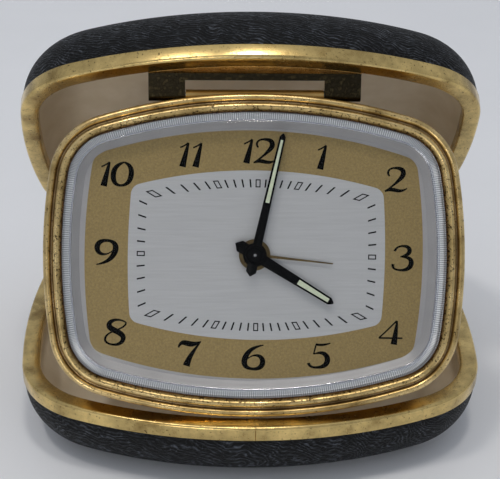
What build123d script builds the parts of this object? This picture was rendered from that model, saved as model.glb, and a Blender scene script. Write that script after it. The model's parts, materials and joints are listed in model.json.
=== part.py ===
from build123d import *
import math
import os

# Folding travel alarm clock, standing open on its case. All lengths are in millimetres.
# The case lies on its flat underside at the origin, front towards -Y, with +Z up.
# Three frames are used. The case frame is a shell with its rim upwards. The face frame
# is the clock head lying on its back: X right, Y up the dial, Z out through the crystal.
# Levels in the face frame are measured from the widest line of the bezel.

# Case shells: width, depth, radii of the long sides, short sides and corners
case_shape = (104.0, 88.0, 96.0, 160.0, 21.5)
shell_height = 17.0
shell_side = 4.0
leather_inset = 0.35
leather_thickness = 0.9
steel_thickness = 0.6
lining_thickness = 0.55
glue_gap = 0.05

# Brass rim of each shell
band_height = 3.2
rim_thickness = 0.5
rim_edge_radius = 0.7
lip_width = 4.0
lip_fall = 0.15
lip_edge = 0.4
flange_depth = 2.4

# Rear hinge between the two shells
rear_hinge_length = 34.0
rear_knuckle_length = 14.0
rear_knuckle_radius = 1.05
rear_pin_radius = 0.5
rear_leaf_height = 1.8
leaf_thickness = 0.5
hinge_clearance = 0.15
bore_clearance = 0.05
lid_over_travel = 45.0

# Hinge that carries the clock head in the lid
fold_inset = 10.5
fold_rise = 2.9
fold_plate_width = 44.2
fold_centre_width = 29.0
fold_knuckle_radius = 1.2
fold_pin_radius = 0.6
fold_plate_thickness = 0.6
fold_plate_depth = 3.2
fold_bar_width = 1.6
fold_leaf_depth = 7.0
fold_drop = 0.15
seat_gap = 0.25
seat_forward = 2.9

# Clock head: outline of the bezel, and its section from the outside in
head_shape = (87.3, 66.9, 112.0, 111.0, 14.2)
bezel_back = 2.2
outer_bead_width = 1.45
outer_bead_height = 0.65
groove_width = 0.4
groove_height = 0.1
inner_bead_width = 1.05
inner_bead_height = 1.2
bezel_wall_width = 0.95
bezel_wall_fall = 0.8

# Crystal
crystal_gap = 0.1
crystal_wall = 1.3
crystal_shoulder = 0.6
crystal_bevel = 1.5
crystal_bevel_height = 1.1
crystal_crown_radius = 1200.0
crystal_crown = 0.9
crystal_thickness = 1.4

# Fluted and sloping ring round the dial
ring_outer_inset = 2.3
ring_flute_start = 4.7
ring_flute_end = 5.8
ring_flute_fall = 0.9
ring_slope_end = 7.0
ring_thickness = 0.45

# Dial
dial_level = -4.0
dial_thickness = 0.5
dial_inset = 5.2
dial_hole_radius = 2.0
dial_foot_radius = 0.7
dial_foot_shares = ((-0.62, 0.6), (0.62, 0.6), (-0.2, -0.84))

# Back case
back_inset = 2.3
back_wall = 0.6
back_depth = 17.0
back_round = 4.0
leaf_gap = 0.05

# Movement: two plates held apart by pillars, behind the dial
motion_space = 3.2
train_space = 5.4
plate_thickness = 1.0
plate_width = 62.0
plate_height = 46.0
plate_round = 9.0
pillar_radius = 1.5
pillar_inset = 3.6
pillar_shoulder = 0.9
nut_radius = 1.7
nut_height = 0.6
arbor_radius = 0.5
pivot_radius = 0.3
running_clearance = 0.06
end_shake = 0.1
wheel_thickness = 0.4
pinion_overlap = 0.35
cut_overrun = 1.0

# Tooth form: addendum and dedendum in modules, tooth thickness as shares of the pitch
addendum_share = 0.75
dedendum_share = 1.05
root_thickness_share = 0.46
tip_thickness_share = 0.16

# Motion work under the dial: teeth and modules
cannon_teeth, minute_wheel_teeth, cannon_module = 12, 36, 0.3
minute_pinion_teeth, hour_wheel_teeth = 10, 40
alarm_wheel_teeth, alarm_pinion_teeth, alarm_module = 48, 12, 0.42
setting_teeth = 12
minute_wheel_bearing = -75.0
setting_bearing = -90.0
alarm_setting_bearing = 20.0

# Going train: teeth and modules
barrel_teeth, centre_pinion_teeth, barrel_module = 42, 7, 0.48
centre_teeth, third_pinion_teeth, centre_module = 48, 6, 0.42
third_teeth, fourth_pinion_teeth, third_module = 45, 6, 0.3
fourth_teeth, escape_pinion_teeth, fourth_module = 48, 6, 0.26
barrel_bearing = 200.0
third_bearing = 60.0
fourth_bearing = 150.0
escape_bearing = 175.0

# Escapement
escape_teeth = 15
escape_radius = 4.4
escape_tooth_height = 1.3
lever_distance = 6.0
lever_bearing = 198.0
lever_swing = 4.0
lever_thickness = 0.4
pallet_pin_radius = 0.18
pallet_spread = 56.0
fork_width = 1.6
fork_slot = 0.5
balance_distance = 7.6
balance_bearing = 185.0
balance_radius = 6.2
balance_rim_width = 0.9
balance_rim_thickness = 0.7
balance_arm_width = 0.9
roller_radius = 1.5
impulse_pin_radius = 0.25
impulse_pin_place = 1.05
hairspring_turns = 4
hairspring_pitch = 0.55
hairspring_strip = 0.16
hairspring_height = 0.4
collet_radius = 0.8
jewel_radius = 0.9

# Mainspring barrels and winding
barrel_wall = 0.5
barrel_gear_thickness = 0.9
barrel_drum_height = 1.9
winding_arbor_radius = 1.2
spring_core_radius = 1.9
spring_gap = 0.3
key_hub_radius = 2.1
key_hub_height = 2.9
key_span = 12.4
key_wing_height = 5.4
key_wing_thickness = 0.9

# Alarm train
alarm_barrel_teeth, alarm_escape_pinion_teeth, alarm_barrel_module = 36, 6, 0.46
alarm_barrel_x, alarm_barrel_y = 15.5, -8.0
alarm_escape_bearing = 52.0
alarm_escape_teeth = 12
alarm_escape_radius = 3.6
alarm_escape_tooth_height = 1.0
hammer_distance = 5.2
hammer_bearing = 70.0
hammer_arm = 11.0
hammer_arm_bearing = 118.0
hammer_arm_width = 0.8
hammer_head_radius = 1.7
hammer_head_height = 1.6
hammer_swing = 8.0

# Knobs and controls on the back
knob_gap = 0.2
knob_radius = 3.3
knob_height = 2.9
knob_flutes = 14
knob_flute_radius = 0.4
cover_hole_clearance = 0.3
stop_x, stop_y = 24.0, 17.0
stop_radius = 1.5
stop_cap_radius = 2.3
stop_cap_height = 1.0
stop_travel = 1.2
regulator_length = 8.6
regulator_width = 1.0
regulator_ring_radius = 1.9
regulator_thickness = 0.45
regulator_travel = 12.0
regulator_bearing = 60.0
screw_head_radius = 1.6
screw_head_height = 0.7
screw_radius = 0.8

# Hands
minute_hand_length = 26.6
minute_hand_tail = 4.6
minute_hand_width = 1.95
minute_hand_tip_width = 1.3
minute_hand_bearing = 13.2
minute_hub_radius = 1.95
hour_hand_length = 19.4
hour_hand_tail = 4.8
hour_hand_width = 2.3
hour_hand_tip_width = 1.6
hour_hand_bearing = 121.7
hour_hub_radius = 2.5
alarm_hand_length = 16.6
alarm_hand_width = 1.0
alarm_hand_tip_width = 0.45
alarm_hand_bearing = 96.5
alarm_boss_radius = 3.3
hand_thickness = 0.25
hand_gap = 0.6
lume_start_share = 0.43
lume_end_share = 0.96
lume_margin = 0.42
lume_thickness = 0.15
hub_height = 0.5
point_share = 0.6
tube_wall = 0.4

# Heights of the stack in the face frame, from the dial down to the back cover
dial_back = dial_level - dial_thickness
front_plate_top = dial_back - motion_space
front_plate_back = front_plate_top - plate_thickness
back_plate_front = front_plate_back - train_space
back_plate_back = back_plate_front - plate_thickness
cover_inside = -back_depth + back_wall
knob_base = -back_depth - knob_gap
knob_end = knob_base - knob_height


def spaced(start, distance, bearing):
    """Point at a distance from start, with the bearing counted from +X."""
    turn = math.radians(bearing)
    return (start[0] + distance*math.cos(turn), start[1] + distance*math.sin(turn))


def centre_distance(module, wheel_teeth, pinion_teeth):
    return module*(wheel_teeth + pinion_teeth)/2


# Arbor places in the face frame
centre_at = (0.0, 0.0)
minute_wheel_distance = centre_distance(cannon_module, cannon_teeth, minute_wheel_teeth)
minute_wheel_at = spaced(centre_at, minute_wheel_distance, minute_wheel_bearing)
hour_module = 2*minute_wheel_distance/(minute_pinion_teeth + hour_wheel_teeth)
setting_at = spaced(minute_wheel_at,
                    centre_distance(cannon_module, minute_wheel_teeth, setting_teeth), setting_bearing)
alarm_setting_at = spaced(centre_at,
                          centre_distance(alarm_module, alarm_wheel_teeth, alarm_pinion_teeth),
                          alarm_setting_bearing)
barrel_at = spaced(centre_at, centre_distance(barrel_module, barrel_teeth, centre_pinion_teeth),
                   barrel_bearing)
third_at = spaced(centre_at, centre_distance(centre_module, centre_teeth, third_pinion_teeth),
                  third_bearing)
fourth_at = spaced(third_at, centre_distance(third_module, third_teeth, fourth_pinion_teeth),
                   fourth_bearing)
escape_at = spaced(fourth_at, centre_distance(fourth_module, fourth_teeth, escape_pinion_teeth),
                   escape_bearing)
lever_at = spaced(escape_at, lever_distance, lever_bearing)
balance_at = spaced(lever_at, balance_distance, balance_bearing)
alarm_barrel_at = (alarm_barrel_x, alarm_barrel_y)
alarm_escape_at = spaced(alarm_barrel_at,
                         centre_distance(alarm_barrel_module, alarm_barrel_teeth,
                                         alarm_escape_pinion_teeth), alarm_escape_bearing)
hammer_at = spaced(alarm_escape_at, hammer_distance, hammer_bearing)
stop_at = (stop_x, stop_y)

# Levels of the train, counted down from the back of the front plate
drum_level = front_plate_back - end_shake
barrel_gear_level = drum_level - barrel_drum_height
centre_level = barrel_gear_level - barrel_gear_thickness - 2*wheel_thickness
third_level = front_plate_back - end_shake - wheel_thickness
escape_level = third_level - 2*wheel_thickness
fourth_level = escape_level - wheel_thickness - pinion_overlap - running_clearance
lever_level = escape_level
balance_level = back_plate_front + 2*wheel_thickness + hairspring_height
hairspring_level = back_plate_front + wheel_thickness

# The rounding of a shell leaves a short straight side; the hinge plate lies behind the lip at its own ends
shell_round = shell_height - shell_side
lip_radius = case_shape[2] - lip_width
lip_sag = lip_radius - math.sqrt(lip_radius**2 - (fold_plate_width/2)**2)
fold_plate_inset = lip_width + lip_sag + glue_gap

# The open clock is a triangle of lid, head and base. Its sides give the two angles.
hinge_reach = case_shape[1]/2 + rear_knuckle_radius + hinge_clearance
seat_y = -(case_shape[1]/2 - lip_width)
seat_z = shell_height - lip_fall
fold_along = hinge_reach + case_shape[1]/2 - fold_inset
hinge_to_fold = math.hypot(fold_along, fold_rise)
hinge_to_seat = math.hypot(hinge_reach - seat_y, shell_height - seat_z)
fold_level = -(bezel_back + fold_knuckle_radius + leaf_gap)
fold_up = head_shape[1]/2 - fold_drop
fold_to_underside = fold_up + head_shape[1]/2 + seat_gap
fold_to_seat = math.hypot(fold_to_underside, seat_forward)
hinge_corner = math.acos((hinge_to_fold**2 + hinge_to_seat**2 - fold_to_seat**2)
                         / (2*hinge_to_fold*hinge_to_seat))
seat_dip = math.atan2(shell_height - seat_z, hinge_reach - seat_y)
lid_opening = math.degrees(hinge_corner - seat_dip + math.atan2(fold_rise, fold_along))
fold_bearing = math.radians(lid_opening) - math.atan2(fold_rise, fold_along)
fold_y = hinge_reach - hinge_to_fold*math.cos(fold_bearing)
fold_z = shell_height + hinge_to_fold*math.sin(fold_bearing)
head_lean = math.degrees(math.atan2(fold_y - seat_y, fold_z - seat_z)
                         - math.atan2(seat_forward, fold_to_underside))
fold_travel = head_lean + 90.0 - lid_opening

# Places of the lid and of the head when the clock stands open
lid_place = (Pos(0, hinge_reach, shell_height) * Rot(-lid_opening, 0, 0)
             * Pos(0, -hinge_reach, 0) * Rot(180, 0, 0) * Pos(0, 0, -shell_height))
head_place = (Pos(0, fold_y, fold_z) * Rot(90 - head_lean, 0, 0)
              * Pos(0, -fold_up, -fold_level))


def cushion_points(shape, inset):
    """Half sizes, tangent points and middle of a corner of the eight-arc outline."""
    width, height, long_radius, short_radius, round_radius = shape
    half_width, half_height = width/2 - inset, height/2 - inset
    corner_radius = round_radius - inset
    long_centre = Vector(0, half_height - long_radius + inset)
    short_centre = Vector(half_width - short_radius + inset, 0)
    reach_long, reach_short = long_radius - round_radius, short_radius - round_radius
    span = (short_centre - long_centre).length
    along = (reach_long**2 - reach_short**2 + span**2)/(2*span)
    across = math.sqrt(reach_long**2 - along**2)
    ahead = (short_centre - long_centre).normalized()
    sideways = Vector(-ahead.Y, ahead.X)
    corner = max((long_centre + ahead*along + sideways*step for step in (across, -across)),
                 key=lambda point: point.X + point.Y)
    long_end = corner + (corner - long_centre).normalized()*corner_radius
    short_end = corner + (corner - short_centre).normalized()*corner_radius
    middle = (long_end - corner).normalized() + (short_end - corner).normalized()
    return half_width, half_height, long_end, short_end, corner + middle.normalized()*corner_radius


def cushion_wire(shape, inset=0.0):
    """Cushion outline of eight tangent arcs about the origin."""
    half_width, half_height, long_end, short_end, middle = cushion_points(shape, inset)
    arcs = []
    for x, y in ((1, 1), (-1, -1)):
        arcs += [
            ThreePointArc((-x*long_end.X, y*long_end.Y), (0, y*half_height), (x*long_end.X, y*long_end.Y)),
            ThreePointArc((x*long_end.X, y*long_end.Y), (x*middle.X, y*middle.Y),
                          (x*short_end.X, y*short_end.Y)),
            ThreePointArc((x*short_end.X, y*short_end.Y), (x*half_width, 0),
                          (x*short_end.X, -y*short_end.Y)),
            ThreePointArc((x*short_end.X, -y*short_end.Y), (x*middle.X, -y*middle.Y),
                          (x*long_end.X, -y*long_end.Y))]
    return Wire(arcs)


def cushion(shape, inset, low, high):
    """Straight-sided cushion block between two levels."""
    return Pos(0, 0, low) * extrude(make_face(cushion_wire(shape, inset)), amount=high - low)


def pillow(shape, inset, low, high, round_radius):
    """Cushion block whose lower edge is rounded."""
    block = cushion(shape, inset, low, high)
    return fillet(block.edges().group_by(Axis.Z)[0], radius=round_radius)


def cushion_ring(shape, section):
    """Ring round the cushion outline; the section is drawn as (inset, height)."""
    path = cushion_wire(shape)
    start, tangent = path.position_at(0), path.tangent_at(0)
    inward = Vector(-tangent.Y, tangent.X)
    if start.dot(inward) > 0:
        inward = inward*-1
    plane = Plane(origin=start, x_dir=inward, z_dir=inward.cross(Vector(0, 0, 1)))
    return sweep(plane * section, path=path)


def disc(at, radius, low, high, bore=0.0):
    """Round disc or tube along Z between two levels, about a place in the face frame."""
    solid = extrude(Circle(radius) - Circle(bore) if bore else Circle(radius), amount=high - low)
    return Pos(at[0], at[1], low) * solid


def bar_along_x(radius, half_low, half_high):
    """Round bar along X from half_low to half_high."""
    return Pos(half_low, 0, 0) * Rot(0, 90, 0) * extrude(Circle(radius), amount=half_high - half_low)


def block_between(low, high):
    """Box between two corners."""
    size = [b - a for a, b in zip(low, high)]
    middle = [(a + b)/2 for a, b in zip(low, high)]
    return Pos(*middle) * Box(*size)


# Shells

def shell_leather():
    """Leather cover, turned under the lower edge of the brass band."""
    top = shell_height - band_height - glue_gap
    outside = pillow(case_shape, leather_inset, 0, top, shell_round)
    inside = pillow(case_shape, leather_inset + leather_thickness, leather_thickness,
                    top + cut_overrun, shell_round - leather_thickness)
    return outside - inside


def pan(inset, thickness, floor, top):
    """Pressed pan that nests in the leather cover."""
    round_radius = shell_round + leather_inset - inset
    outside = pillow(case_shape, inset, floor, top, round_radius)
    inside = pillow(case_shape, inset + thickness, floor + thickness, top + cut_overrun,
                    round_radius - thickness)
    return outside - inside


steel_inset = leather_inset + leather_thickness + glue_gap
steel_floor = leather_thickness + glue_gap
lining_inset = steel_inset + steel_thickness + glue_gap
lining_floor = steel_floor + steel_thickness + glue_gap


def shell_steel():
    top = shell_height - rim_thickness - lip_fall - glue_gap - rim_edge_radius/2
    return pan(steel_inset, steel_thickness, steel_floor, top)


def shell_lining():
    top = shell_height - flange_depth
    return pan(lining_inset, lining_thickness, lining_floor, top)


def rim_section():
    """Band, rounded edge, lip and turned-down flange as one sheet."""
    wall = rim_thickness
    outer = Polyline((wall, -band_height), (0, -band_height), (0, -rim_edge_radius))
    edge = RadiusArc((0, -rim_edge_radius), (rim_edge_radius, 0), rim_edge_radius)
    lip = Polyline((rim_edge_radius, 0), (lip_width - lip_edge, -lip_fall))
    fold = RadiusArc((lip_width - lip_edge, -lip_fall), (lip_width, -lip_fall - lip_edge), lip_edge)
    inner = Polyline((lip_width, -lip_fall - lip_edge), (lip_width, -flange_depth),
                     (lip_width - wall, -flange_depth), (lip_width - wall, -lip_fall - wall),
                     (rim_edge_radius, -wall), (wall, -rim_edge_radius), (wall, -band_height))
    return make_face(Wire([*outer.edges(), *edge.edges(), *lip.edges(), *fold.edges(), *inner.edges()]))


def shell_rim(with_land):
    ring = Pos(0, 0, shell_height) * cushion_ring(case_shape, rim_section())
    if not with_land:
        return ring
    # On the lid the lip runs on as a straight land to the hinge plate
    half_depth = case_shape[1]/2
    land = block_between((-fold_plate_width/2, half_depth - fold_plate_inset,
                          shell_height - lip_fall - rim_thickness),
                         (fold_plate_width/2, half_depth - lip_width + lip_edge, shell_height - lip_fall))
    flange_room = cushion(case_shape, lip_width, shell_height - flange_depth, shell_height + cut_overrun)
    return ring + (land & flange_room)


# Rear hinge

def rear_leaf(knuckle_spans, bore_radius):
    """Leaf on the outside of the band at the back, with its rolled knuckles."""
    half_length = rear_hinge_length/2
    top = shell_height - rear_knuckle_radius - hinge_clearance
    low = top - rear_leaf_height
    outer = cushion(case_shape, -glue_gap - leaf_thickness, low, top)
    inner = cushion(case_shape, -glue_gap, 0, shell_height + cut_overrun)
    reach_box = block_between((-half_length, 0, 0), (half_length, case_shape[1], top))
    solid = (outer - inner) & reach_box
    root = case_shape[1]/2 - rear_hinge_length**2/(8*case_shape[2])
    back = hinge_reach + rear_knuckle_radius
    for start, end in knuckle_spans:
        web = block_between((start, root, top - leaf_thickness), (end, back, top)) - inner
        curl = block_between((start, back - leaf_thickness, top - leaf_thickness), (end, back, shell_height))
        knuckle = Pos(0, hinge_reach, shell_height) * bar_along_x(rear_knuckle_radius, start, end)
        solid = solid + web + curl + knuckle
    bore = bar_along_x(bore_radius, -half_length - cut_overrun, half_length + cut_overrun)
    return solid - Pos(0, hinge_reach, shell_height) * bore


def rear_spans():
    """X spans of the outer knuckles and of the centre knuckle."""
    half, centre = rear_hinge_length/2, rear_knuckle_length/2
    outer = [(-half, -centre - hinge_clearance/2), (centre + hinge_clearance/2, half)]
    return outer, [(-centre + hinge_clearance/2, centre - hinge_clearance/2)]


def rear_pin():
    half = rear_hinge_length/2
    return Pos(0, hinge_reach, shell_height) * bar_along_x(rear_pin_radius, -half, half)


# Head hinge

def tangent_point(start, centre, radius):
    """Where the line from start touches a circle, on the side away from the hinge corner."""
    dx, dy = centre[0] - start[0], centre[1] - start[1]
    distance = math.hypot(dx, dy)
    turn = math.atan2(dy, dx) + math.asin(radius/distance)
    length = math.sqrt(distance**2 - radius**2)
    return (start[0] + length*math.cos(turn), start[1] + length*math.sin(turn))


def sheet_run(start, end, thickness, low_x, high_x):
    """Flat strip of sheet between two points of the (y, z) section."""
    dy, dz = end[0] - start[0], end[1] - start[1]
    length = math.hypot(dy, dz)
    strip = Box(high_x - low_x, length, thickness)
    middle = ((low_x + high_x)/2, (start[0] + end[0])/2, (start[1] + end[1])/2)
    return Pos(*middle) * Rot(math.degrees(math.atan2(dz, dy)), 0, 0) * strip


def head_hinge_plate():
    """Bent plate fixed behind the lip of the lid, with two outer knuckles, in the case frame."""
    half_depth, half_width = case_shape[1]/2, fold_plate_width/2
    half_centre = fold_centre_width/2
    axis = (half_depth - fold_inset, shell_height + fold_rise)
    bend = (half_depth - fold_plate_inset - fold_plate_thickness/2 - glue_gap,
            shell_height - fold_plate_thickness)
    foot = (bend[0], shell_height - fold_plate_depth)
    touch = tangent_point(bend, axis, -(fold_knuckle_radius - fold_plate_thickness/2))
    upright = sheet_run(foot, bend, fold_plate_thickness, -half_width, half_width)
    slope = sheet_run(bend, touch, fold_plate_thickness, -half_width, half_width)
    fold = Pos(0, *bend) * bar_along_x(fold_plate_thickness/2, -half_width, half_width)
    solid = upright + slope + fold
    reach = math.hypot(touch[0] - bend[0], touch[1] - bend[1])
    share = fold_bar_width/reach
    cut_start = (bend[0] + share*(touch[0] - bend[0]), bend[1] + share*(touch[1] - bend[1]))
    cut_end = (touch[0] + (touch[0] - bend[0]), touch[1] + (touch[1] - bend[1]))
    window = sheet_run(cut_start, cut_end, 4*fold_plate_thickness, -half_centre, half_centre)
    solid = solid - window
    for side in (-1, 1):
        low, high = sorted((side*half_centre, side*half_width))
        solid = solid + Pos(0, *axis) * bar_along_x(fold_knuckle_radius, low, high)
    bore = bar_along_x(fold_pin_radius, -half_width - cut_overrun, half_width + cut_overrun)
    return solid - Pos(0, *axis) * bore


def head_hinge_pin():
    axis_y = case_shape[1]/2 - fold_inset
    half = fold_plate_width/2
    return Pos(0, axis_y, shell_height + fold_rise) * bar_along_x(fold_pin_radius, -half, half)


def head_hinge_leaf():
    """Centre knuckle and its leaf along the top of the back case, in the face frame."""
    half = fold_centre_width/2 - hinge_clearance
    outer = cushion(head_shape, back_inset - leaf_gap - leaf_thickness, fold_level - fold_leaf_depth,
                    fold_level)
    inner = cushion(head_shape, back_inset - leaf_gap, fold_level - fold_leaf_depth - cut_overrun,
                    fold_level + fold_knuckle_radius)
    strip = block_between((-half, 0, fold_level - fold_leaf_depth), (half, fold_up, fold_level))
    leaf = (outer - inner) & strip
    edge = head_shape[1]/2 - back_inset
    sag = half**2/(2*head_shape[2])
    web = block_between((-half, edge - sag, fold_level - leaf_thickness), (half, fold_up, fold_level)) - inner
    knuckle = Pos(0, fold_up, fold_level) * bar_along_x(fold_knuckle_radius, -half, half)
    bore = Pos(0, fold_up, fold_level) * bar_along_x(fold_pin_radius + bore_clearance,
                                                     -half - cut_overrun, half + cut_overrun)
    return leaf + web + knuckle - bore


# Head front

bezel_width = outer_bead_width + groove_width + inner_bead_width + bezel_wall_width


def bezel():
    """Brass bezel with two rounded beads and a groove between them."""
    groove_start = outer_bead_width
    groove_end = groove_start + groove_width
    wall_start = groove_end + inner_bead_width
    curves = [
        Line((0, -bezel_back), (0, 0)),
        ThreePointArc((0, 0), (outer_bead_width*point_share, outer_bead_height),
                      (groove_start, groove_height)),
        Line((groove_start, groove_height), (groove_end, groove_height)),
        ThreePointArc((groove_end, groove_height), ((groove_end + wall_start)/2, inner_bead_height),
                      (wall_start, groove_height)),
        Line((wall_start, groove_height), (bezel_width, -bezel_wall_fall)),
        Line((bezel_width, -bezel_wall_fall), (bezel_width, -bezel_back)),
        Line((bezel_width, -bezel_back), (0, -bezel_back))]
    return cushion_ring(head_shape, make_face(Wire([edge for curve in curves for edge in curve.edges()])))


crystal_inset = bezel_width + crystal_gap
crystal_foot = -bezel_back


def crystal():
    """Moulded crystal with a bevelled shoulder and a slightly domed top."""
    shoulder = crystal_shoulder
    crown = shoulder + crystal_bevel_height + crystal_crown
    block = cushion(head_shape, crystal_inset, crystal_foot, shoulder)
    lower = Pos(0, 0, shoulder) * make_face(cushion_wire(head_shape, crystal_inset))
    upper = Pos(0, 0, shoulder + crystal_bevel_height) * make_face(
        cushion_wire(head_shape, crystal_inset + crystal_bevel))
    bevel = loft([lower, upper], ruled=True)
    top = cushion(head_shape, crystal_inset + crystal_bevel, shoulder + crystal_bevel_height, crown)
    dome = Pos(0, 0, crown - crystal_crown_radius) * Sphere(crystal_crown_radius)
    cavity = cushion(head_shape, crystal_inset + crystal_wall, crystal_foot - cut_overrun,
                     crown - crystal_thickness - crystal_crown)
    return block + bevel + (top & dome) - cavity


def rehaut_ring():
    """Silvered ring: seat for the crystal, fluted slope and smooth slope down to the dial."""
    seat = -bezel_back - glue_gap
    flute_foot = seat - ring_flute_fall
    points = [(ring_outer_inset, seat), (ring_flute_start, seat), (ring_flute_end, flute_foot),
              (ring_slope_end, dial_level + glue_gap), (ring_slope_end - ring_thickness, dial_level + glue_gap),
              (ring_flute_end - ring_thickness, flute_foot - ring_thickness/2),
              (ring_flute_start - ring_thickness, seat - ring_thickness), (ring_outer_inset, seat - ring_thickness)]
    return cushion_ring(head_shape, make_face(Polyline(*points, close=True)))


def dial():
    """Dial plate with its centre hole and three feet on the front plate."""
    plate = cushion(head_shape, dial_inset, dial_back, dial_level)
    for x_share, y_share in dial_foot_shares:
        foot = (x_share*(plate_width/2), y_share*(plate_height/2))
        plate = plate + disc(foot, dial_foot_radius, front_plate_top, dial_back)
    return plate - disc(centre_at, dial_hole_radius, dial_back - cut_overrun, dial_level + cut_overrun)


# Back case

def key_places():
    return barrel_at, alarm_barrel_at


def knob_places():
    return setting_at, alarm_setting_at


def screw_places():
    x = plate_width/2 - pillar_inset
    return (-x, 0), (x, 0)


def regulator_slot(low, high):
    """Curved slot in the back cover for the tail of the regulator."""
    inner = regulator_length - 3*regulator_width/2 - cover_hole_clearance
    outer = regulator_length - regulator_width/2 + cover_hole_clearance
    half_angle = regulator_travel + math.degrees((regulator_width/2 + cover_hole_clearance)/inner)
    half_side = 2*regulator_length*math.tan(math.radians(half_angle))
    wedge = make_face(Polyline((0, 0), (2*regulator_length, half_side), (2*regulator_length, -half_side),
                               close=True))
    slot = extrude((Circle(outer) - Circle(inner)) & wedge, amount=high - low)
    return Pos(balance_at[0], balance_at[1], low) * Rot(0, 0, regulator_bearing) * slot


def back_case():
    """Drawn cup behind the bezel, with holes for keys, knobs, button, screws and regulator."""
    front = -bezel_back - glue_gap - ring_thickness - glue_gap
    outside = pillow(head_shape, back_inset, -back_depth, front, back_round)
    inside = pillow(head_shape, back_inset + back_wall, cover_inside, front + cut_overrun,
                    back_round - back_wall)
    cup = outside - inside
    low, high = -back_depth - cut_overrun, cover_inside + cut_overrun
    for at in (*key_places(), *knob_places()):
        cup = cup - disc(at, winding_arbor_radius + cover_hole_clearance, low, high)
    cup = cup - disc(stop_at, stop_radius + running_clearance, low, high)
    for at in screw_places():
        cup = cup - disc(at, screw_radius + running_clearance, low, high)
    return cup - regulator_slot(low, high)


def case_screws():
    """Two cheese-head screws with slots that hold the back case to the back plate."""
    screws = Part()
    for at in screw_places():
        head = disc(at, screw_head_radius, -back_depth - screw_head_height, -back_depth)
        slot = Pos(at[0], at[1], -back_depth - screw_head_height) * \
            Box(3*screw_head_radius, screw_radius/2, screw_head_height)
        shank = disc(at, screw_radius, -back_depth, back_plate_front)
        screws = screws + (head - slot + shank)
    return screws


# Movement plates

def plate_outline(thickness):
    return extrude(RectangleRounded(plate_width, plate_height, plate_round), amount=thickness)


def pillar_places():
    x, y = plate_width/2 - pillar_inset, plate_height/2 - pillar_inset
    return [(sx*x, sy*y) for sx in (-1, 1) for sy in (-1, 1)]


arbor_places = {"centre": centre_at, "third": third_at, "fourth": fourth_at, "escape": escape_at,
                "lever": lever_at, "balance": balance_at, "alarm_escape": alarm_escape_at,
                "hammer": hammer_at}


def drilled(plate, low, high, through):
    """Plate with its pivot holes, pillar holes and the larger holes in through."""
    cuts = [disc(at, pivot_radius + running_clearance, low, high)
            for name, at in arbor_places.items() if name not in ("centre", "balance")]
    cuts += [disc(at, pillar_shoulder + glue_gap, low, high) for at in pillar_places()]
    cuts += [disc(at, radius, low, high) for at, radius in through]
    for cut in cuts:
        plate = plate - cut
    return plate


def plate_holes(jewel):
    """Holes that both plates share."""
    winding = winding_arbor_radius + running_clearance
    setting = arbor_radius + running_clearance
    return [(barrel_at, winding), (alarm_barrel_at, winding), (setting_at, setting),
            (alarm_setting_at, setting), (centre_at, arbor_radius + running_clearance), (balance_at, jewel)]


def front_plate():
    low, high = front_plate_back, front_plate_top
    plate = Pos(0, 0, low) * plate_outline(high - low)
    plate = drilled(plate, low - cut_overrun, high + cut_overrun, plate_holes(jewel_radius + glue_gap))
    return plate + disc(minute_wheel_at, arbor_radius, high, minute_pinion_top)


def back_plate():
    low, high = back_plate_back, back_plate_front
    plate = Pos(0, 0, low) * plate_outline(high - low)
    holes = plate_holes(jewel_radius + glue_gap) + [(stop_at, stop_radius + running_clearance)]
    holes += [(at, screw_radius) for at in screw_places()]
    return drilled(plate, low - cut_overrun, high + cut_overrun, holes)


def plate_pillars():
    """Four shouldered pillars, their spigots through both plates."""
    pillars = Part()
    for at in pillar_places():
        pillars = pillars + disc(at, pillar_radius, back_plate_front, front_plate_back) + \
            disc(at, pillar_shoulder, back_plate_back - nut_height, front_plate_top)
    return pillars


def pillar_nuts():
    """Four hexagon nuts on the back of the back plate."""
    nuts = Part()
    for at in pillar_places():
        nut = extrude(RegularPolygon(nut_radius, 6), amount=nut_height)
        bore = extrude(Circle(pillar_shoulder + glue_gap), amount=nut_height)
        nuts = nuts + Pos(at[0], at[1], back_plate_back - nut_height) * (nut - bore)
    return nuts


# Wheels

def gear_face(teeth, module, turn=0.0):
    """Flat gear outline with straight-sided teeth; turn is in shares of a tooth pitch."""
    tip = module*(teeth/2 + addendum_share)
    root = module*(teeth/2 - dedendum_share)
    pitch_angle = 2*math.pi/teeth
    points = []
    for tooth in range(teeth):
        middle = (tooth + turn)*pitch_angle
        for radius, share in ((root, -root_thickness_share), (tip, -tip_thickness_share),
                              (tip, tip_thickness_share), (root, root_thickness_share)):
            angle = middle + share*pitch_angle/2*(module*teeth/2)/radius
            points.append((radius*math.cos(angle), radius*math.sin(angle)))
    return make_face(Polyline(*points, close=True))


def gear(at, teeth, module, low, high, turn=0.0):
    return Pos(at[0], at[1], low) * extrude(gear_face(teeth, module, turn), amount=high - low)


def mesh_turn(teeth, own_at, other_at, other_teeth, other_turn):
    """Turn, in tooth pitches, that puts a gap of this gear against a tooth of its mate."""
    bearing = math.atan2(other_at[1] - own_at[1], other_at[0] - own_at[0])
    other_bearing = bearing + math.pi
    other_phase = other_bearing/(2*math.pi)*other_teeth - other_turn
    phase = bearing/(2*math.pi)*teeth
    return phase + other_phase + 0.5


def spoked(solid, at, low, high, rim_inside, hub_outside, spokes, spoke_width):
    """Cuts windows between spokes in a wheel."""
    windows = extrude(Circle(rim_inside) - Circle(hub_outside), amount=high - low + 2*cut_overrun)
    for spoke in range(spokes):
        arm = Pos(rim_inside/2, 0, (high - low)/2 + cut_overrun) * \
            Box(rim_inside, spoke_width, high - low + 2*cut_overrun)
        windows = windows - Rot(0, 0, 360*spoke/spokes) * arm
    return solid - Pos(at[0], at[1], low - cut_overrun) * windows


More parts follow.
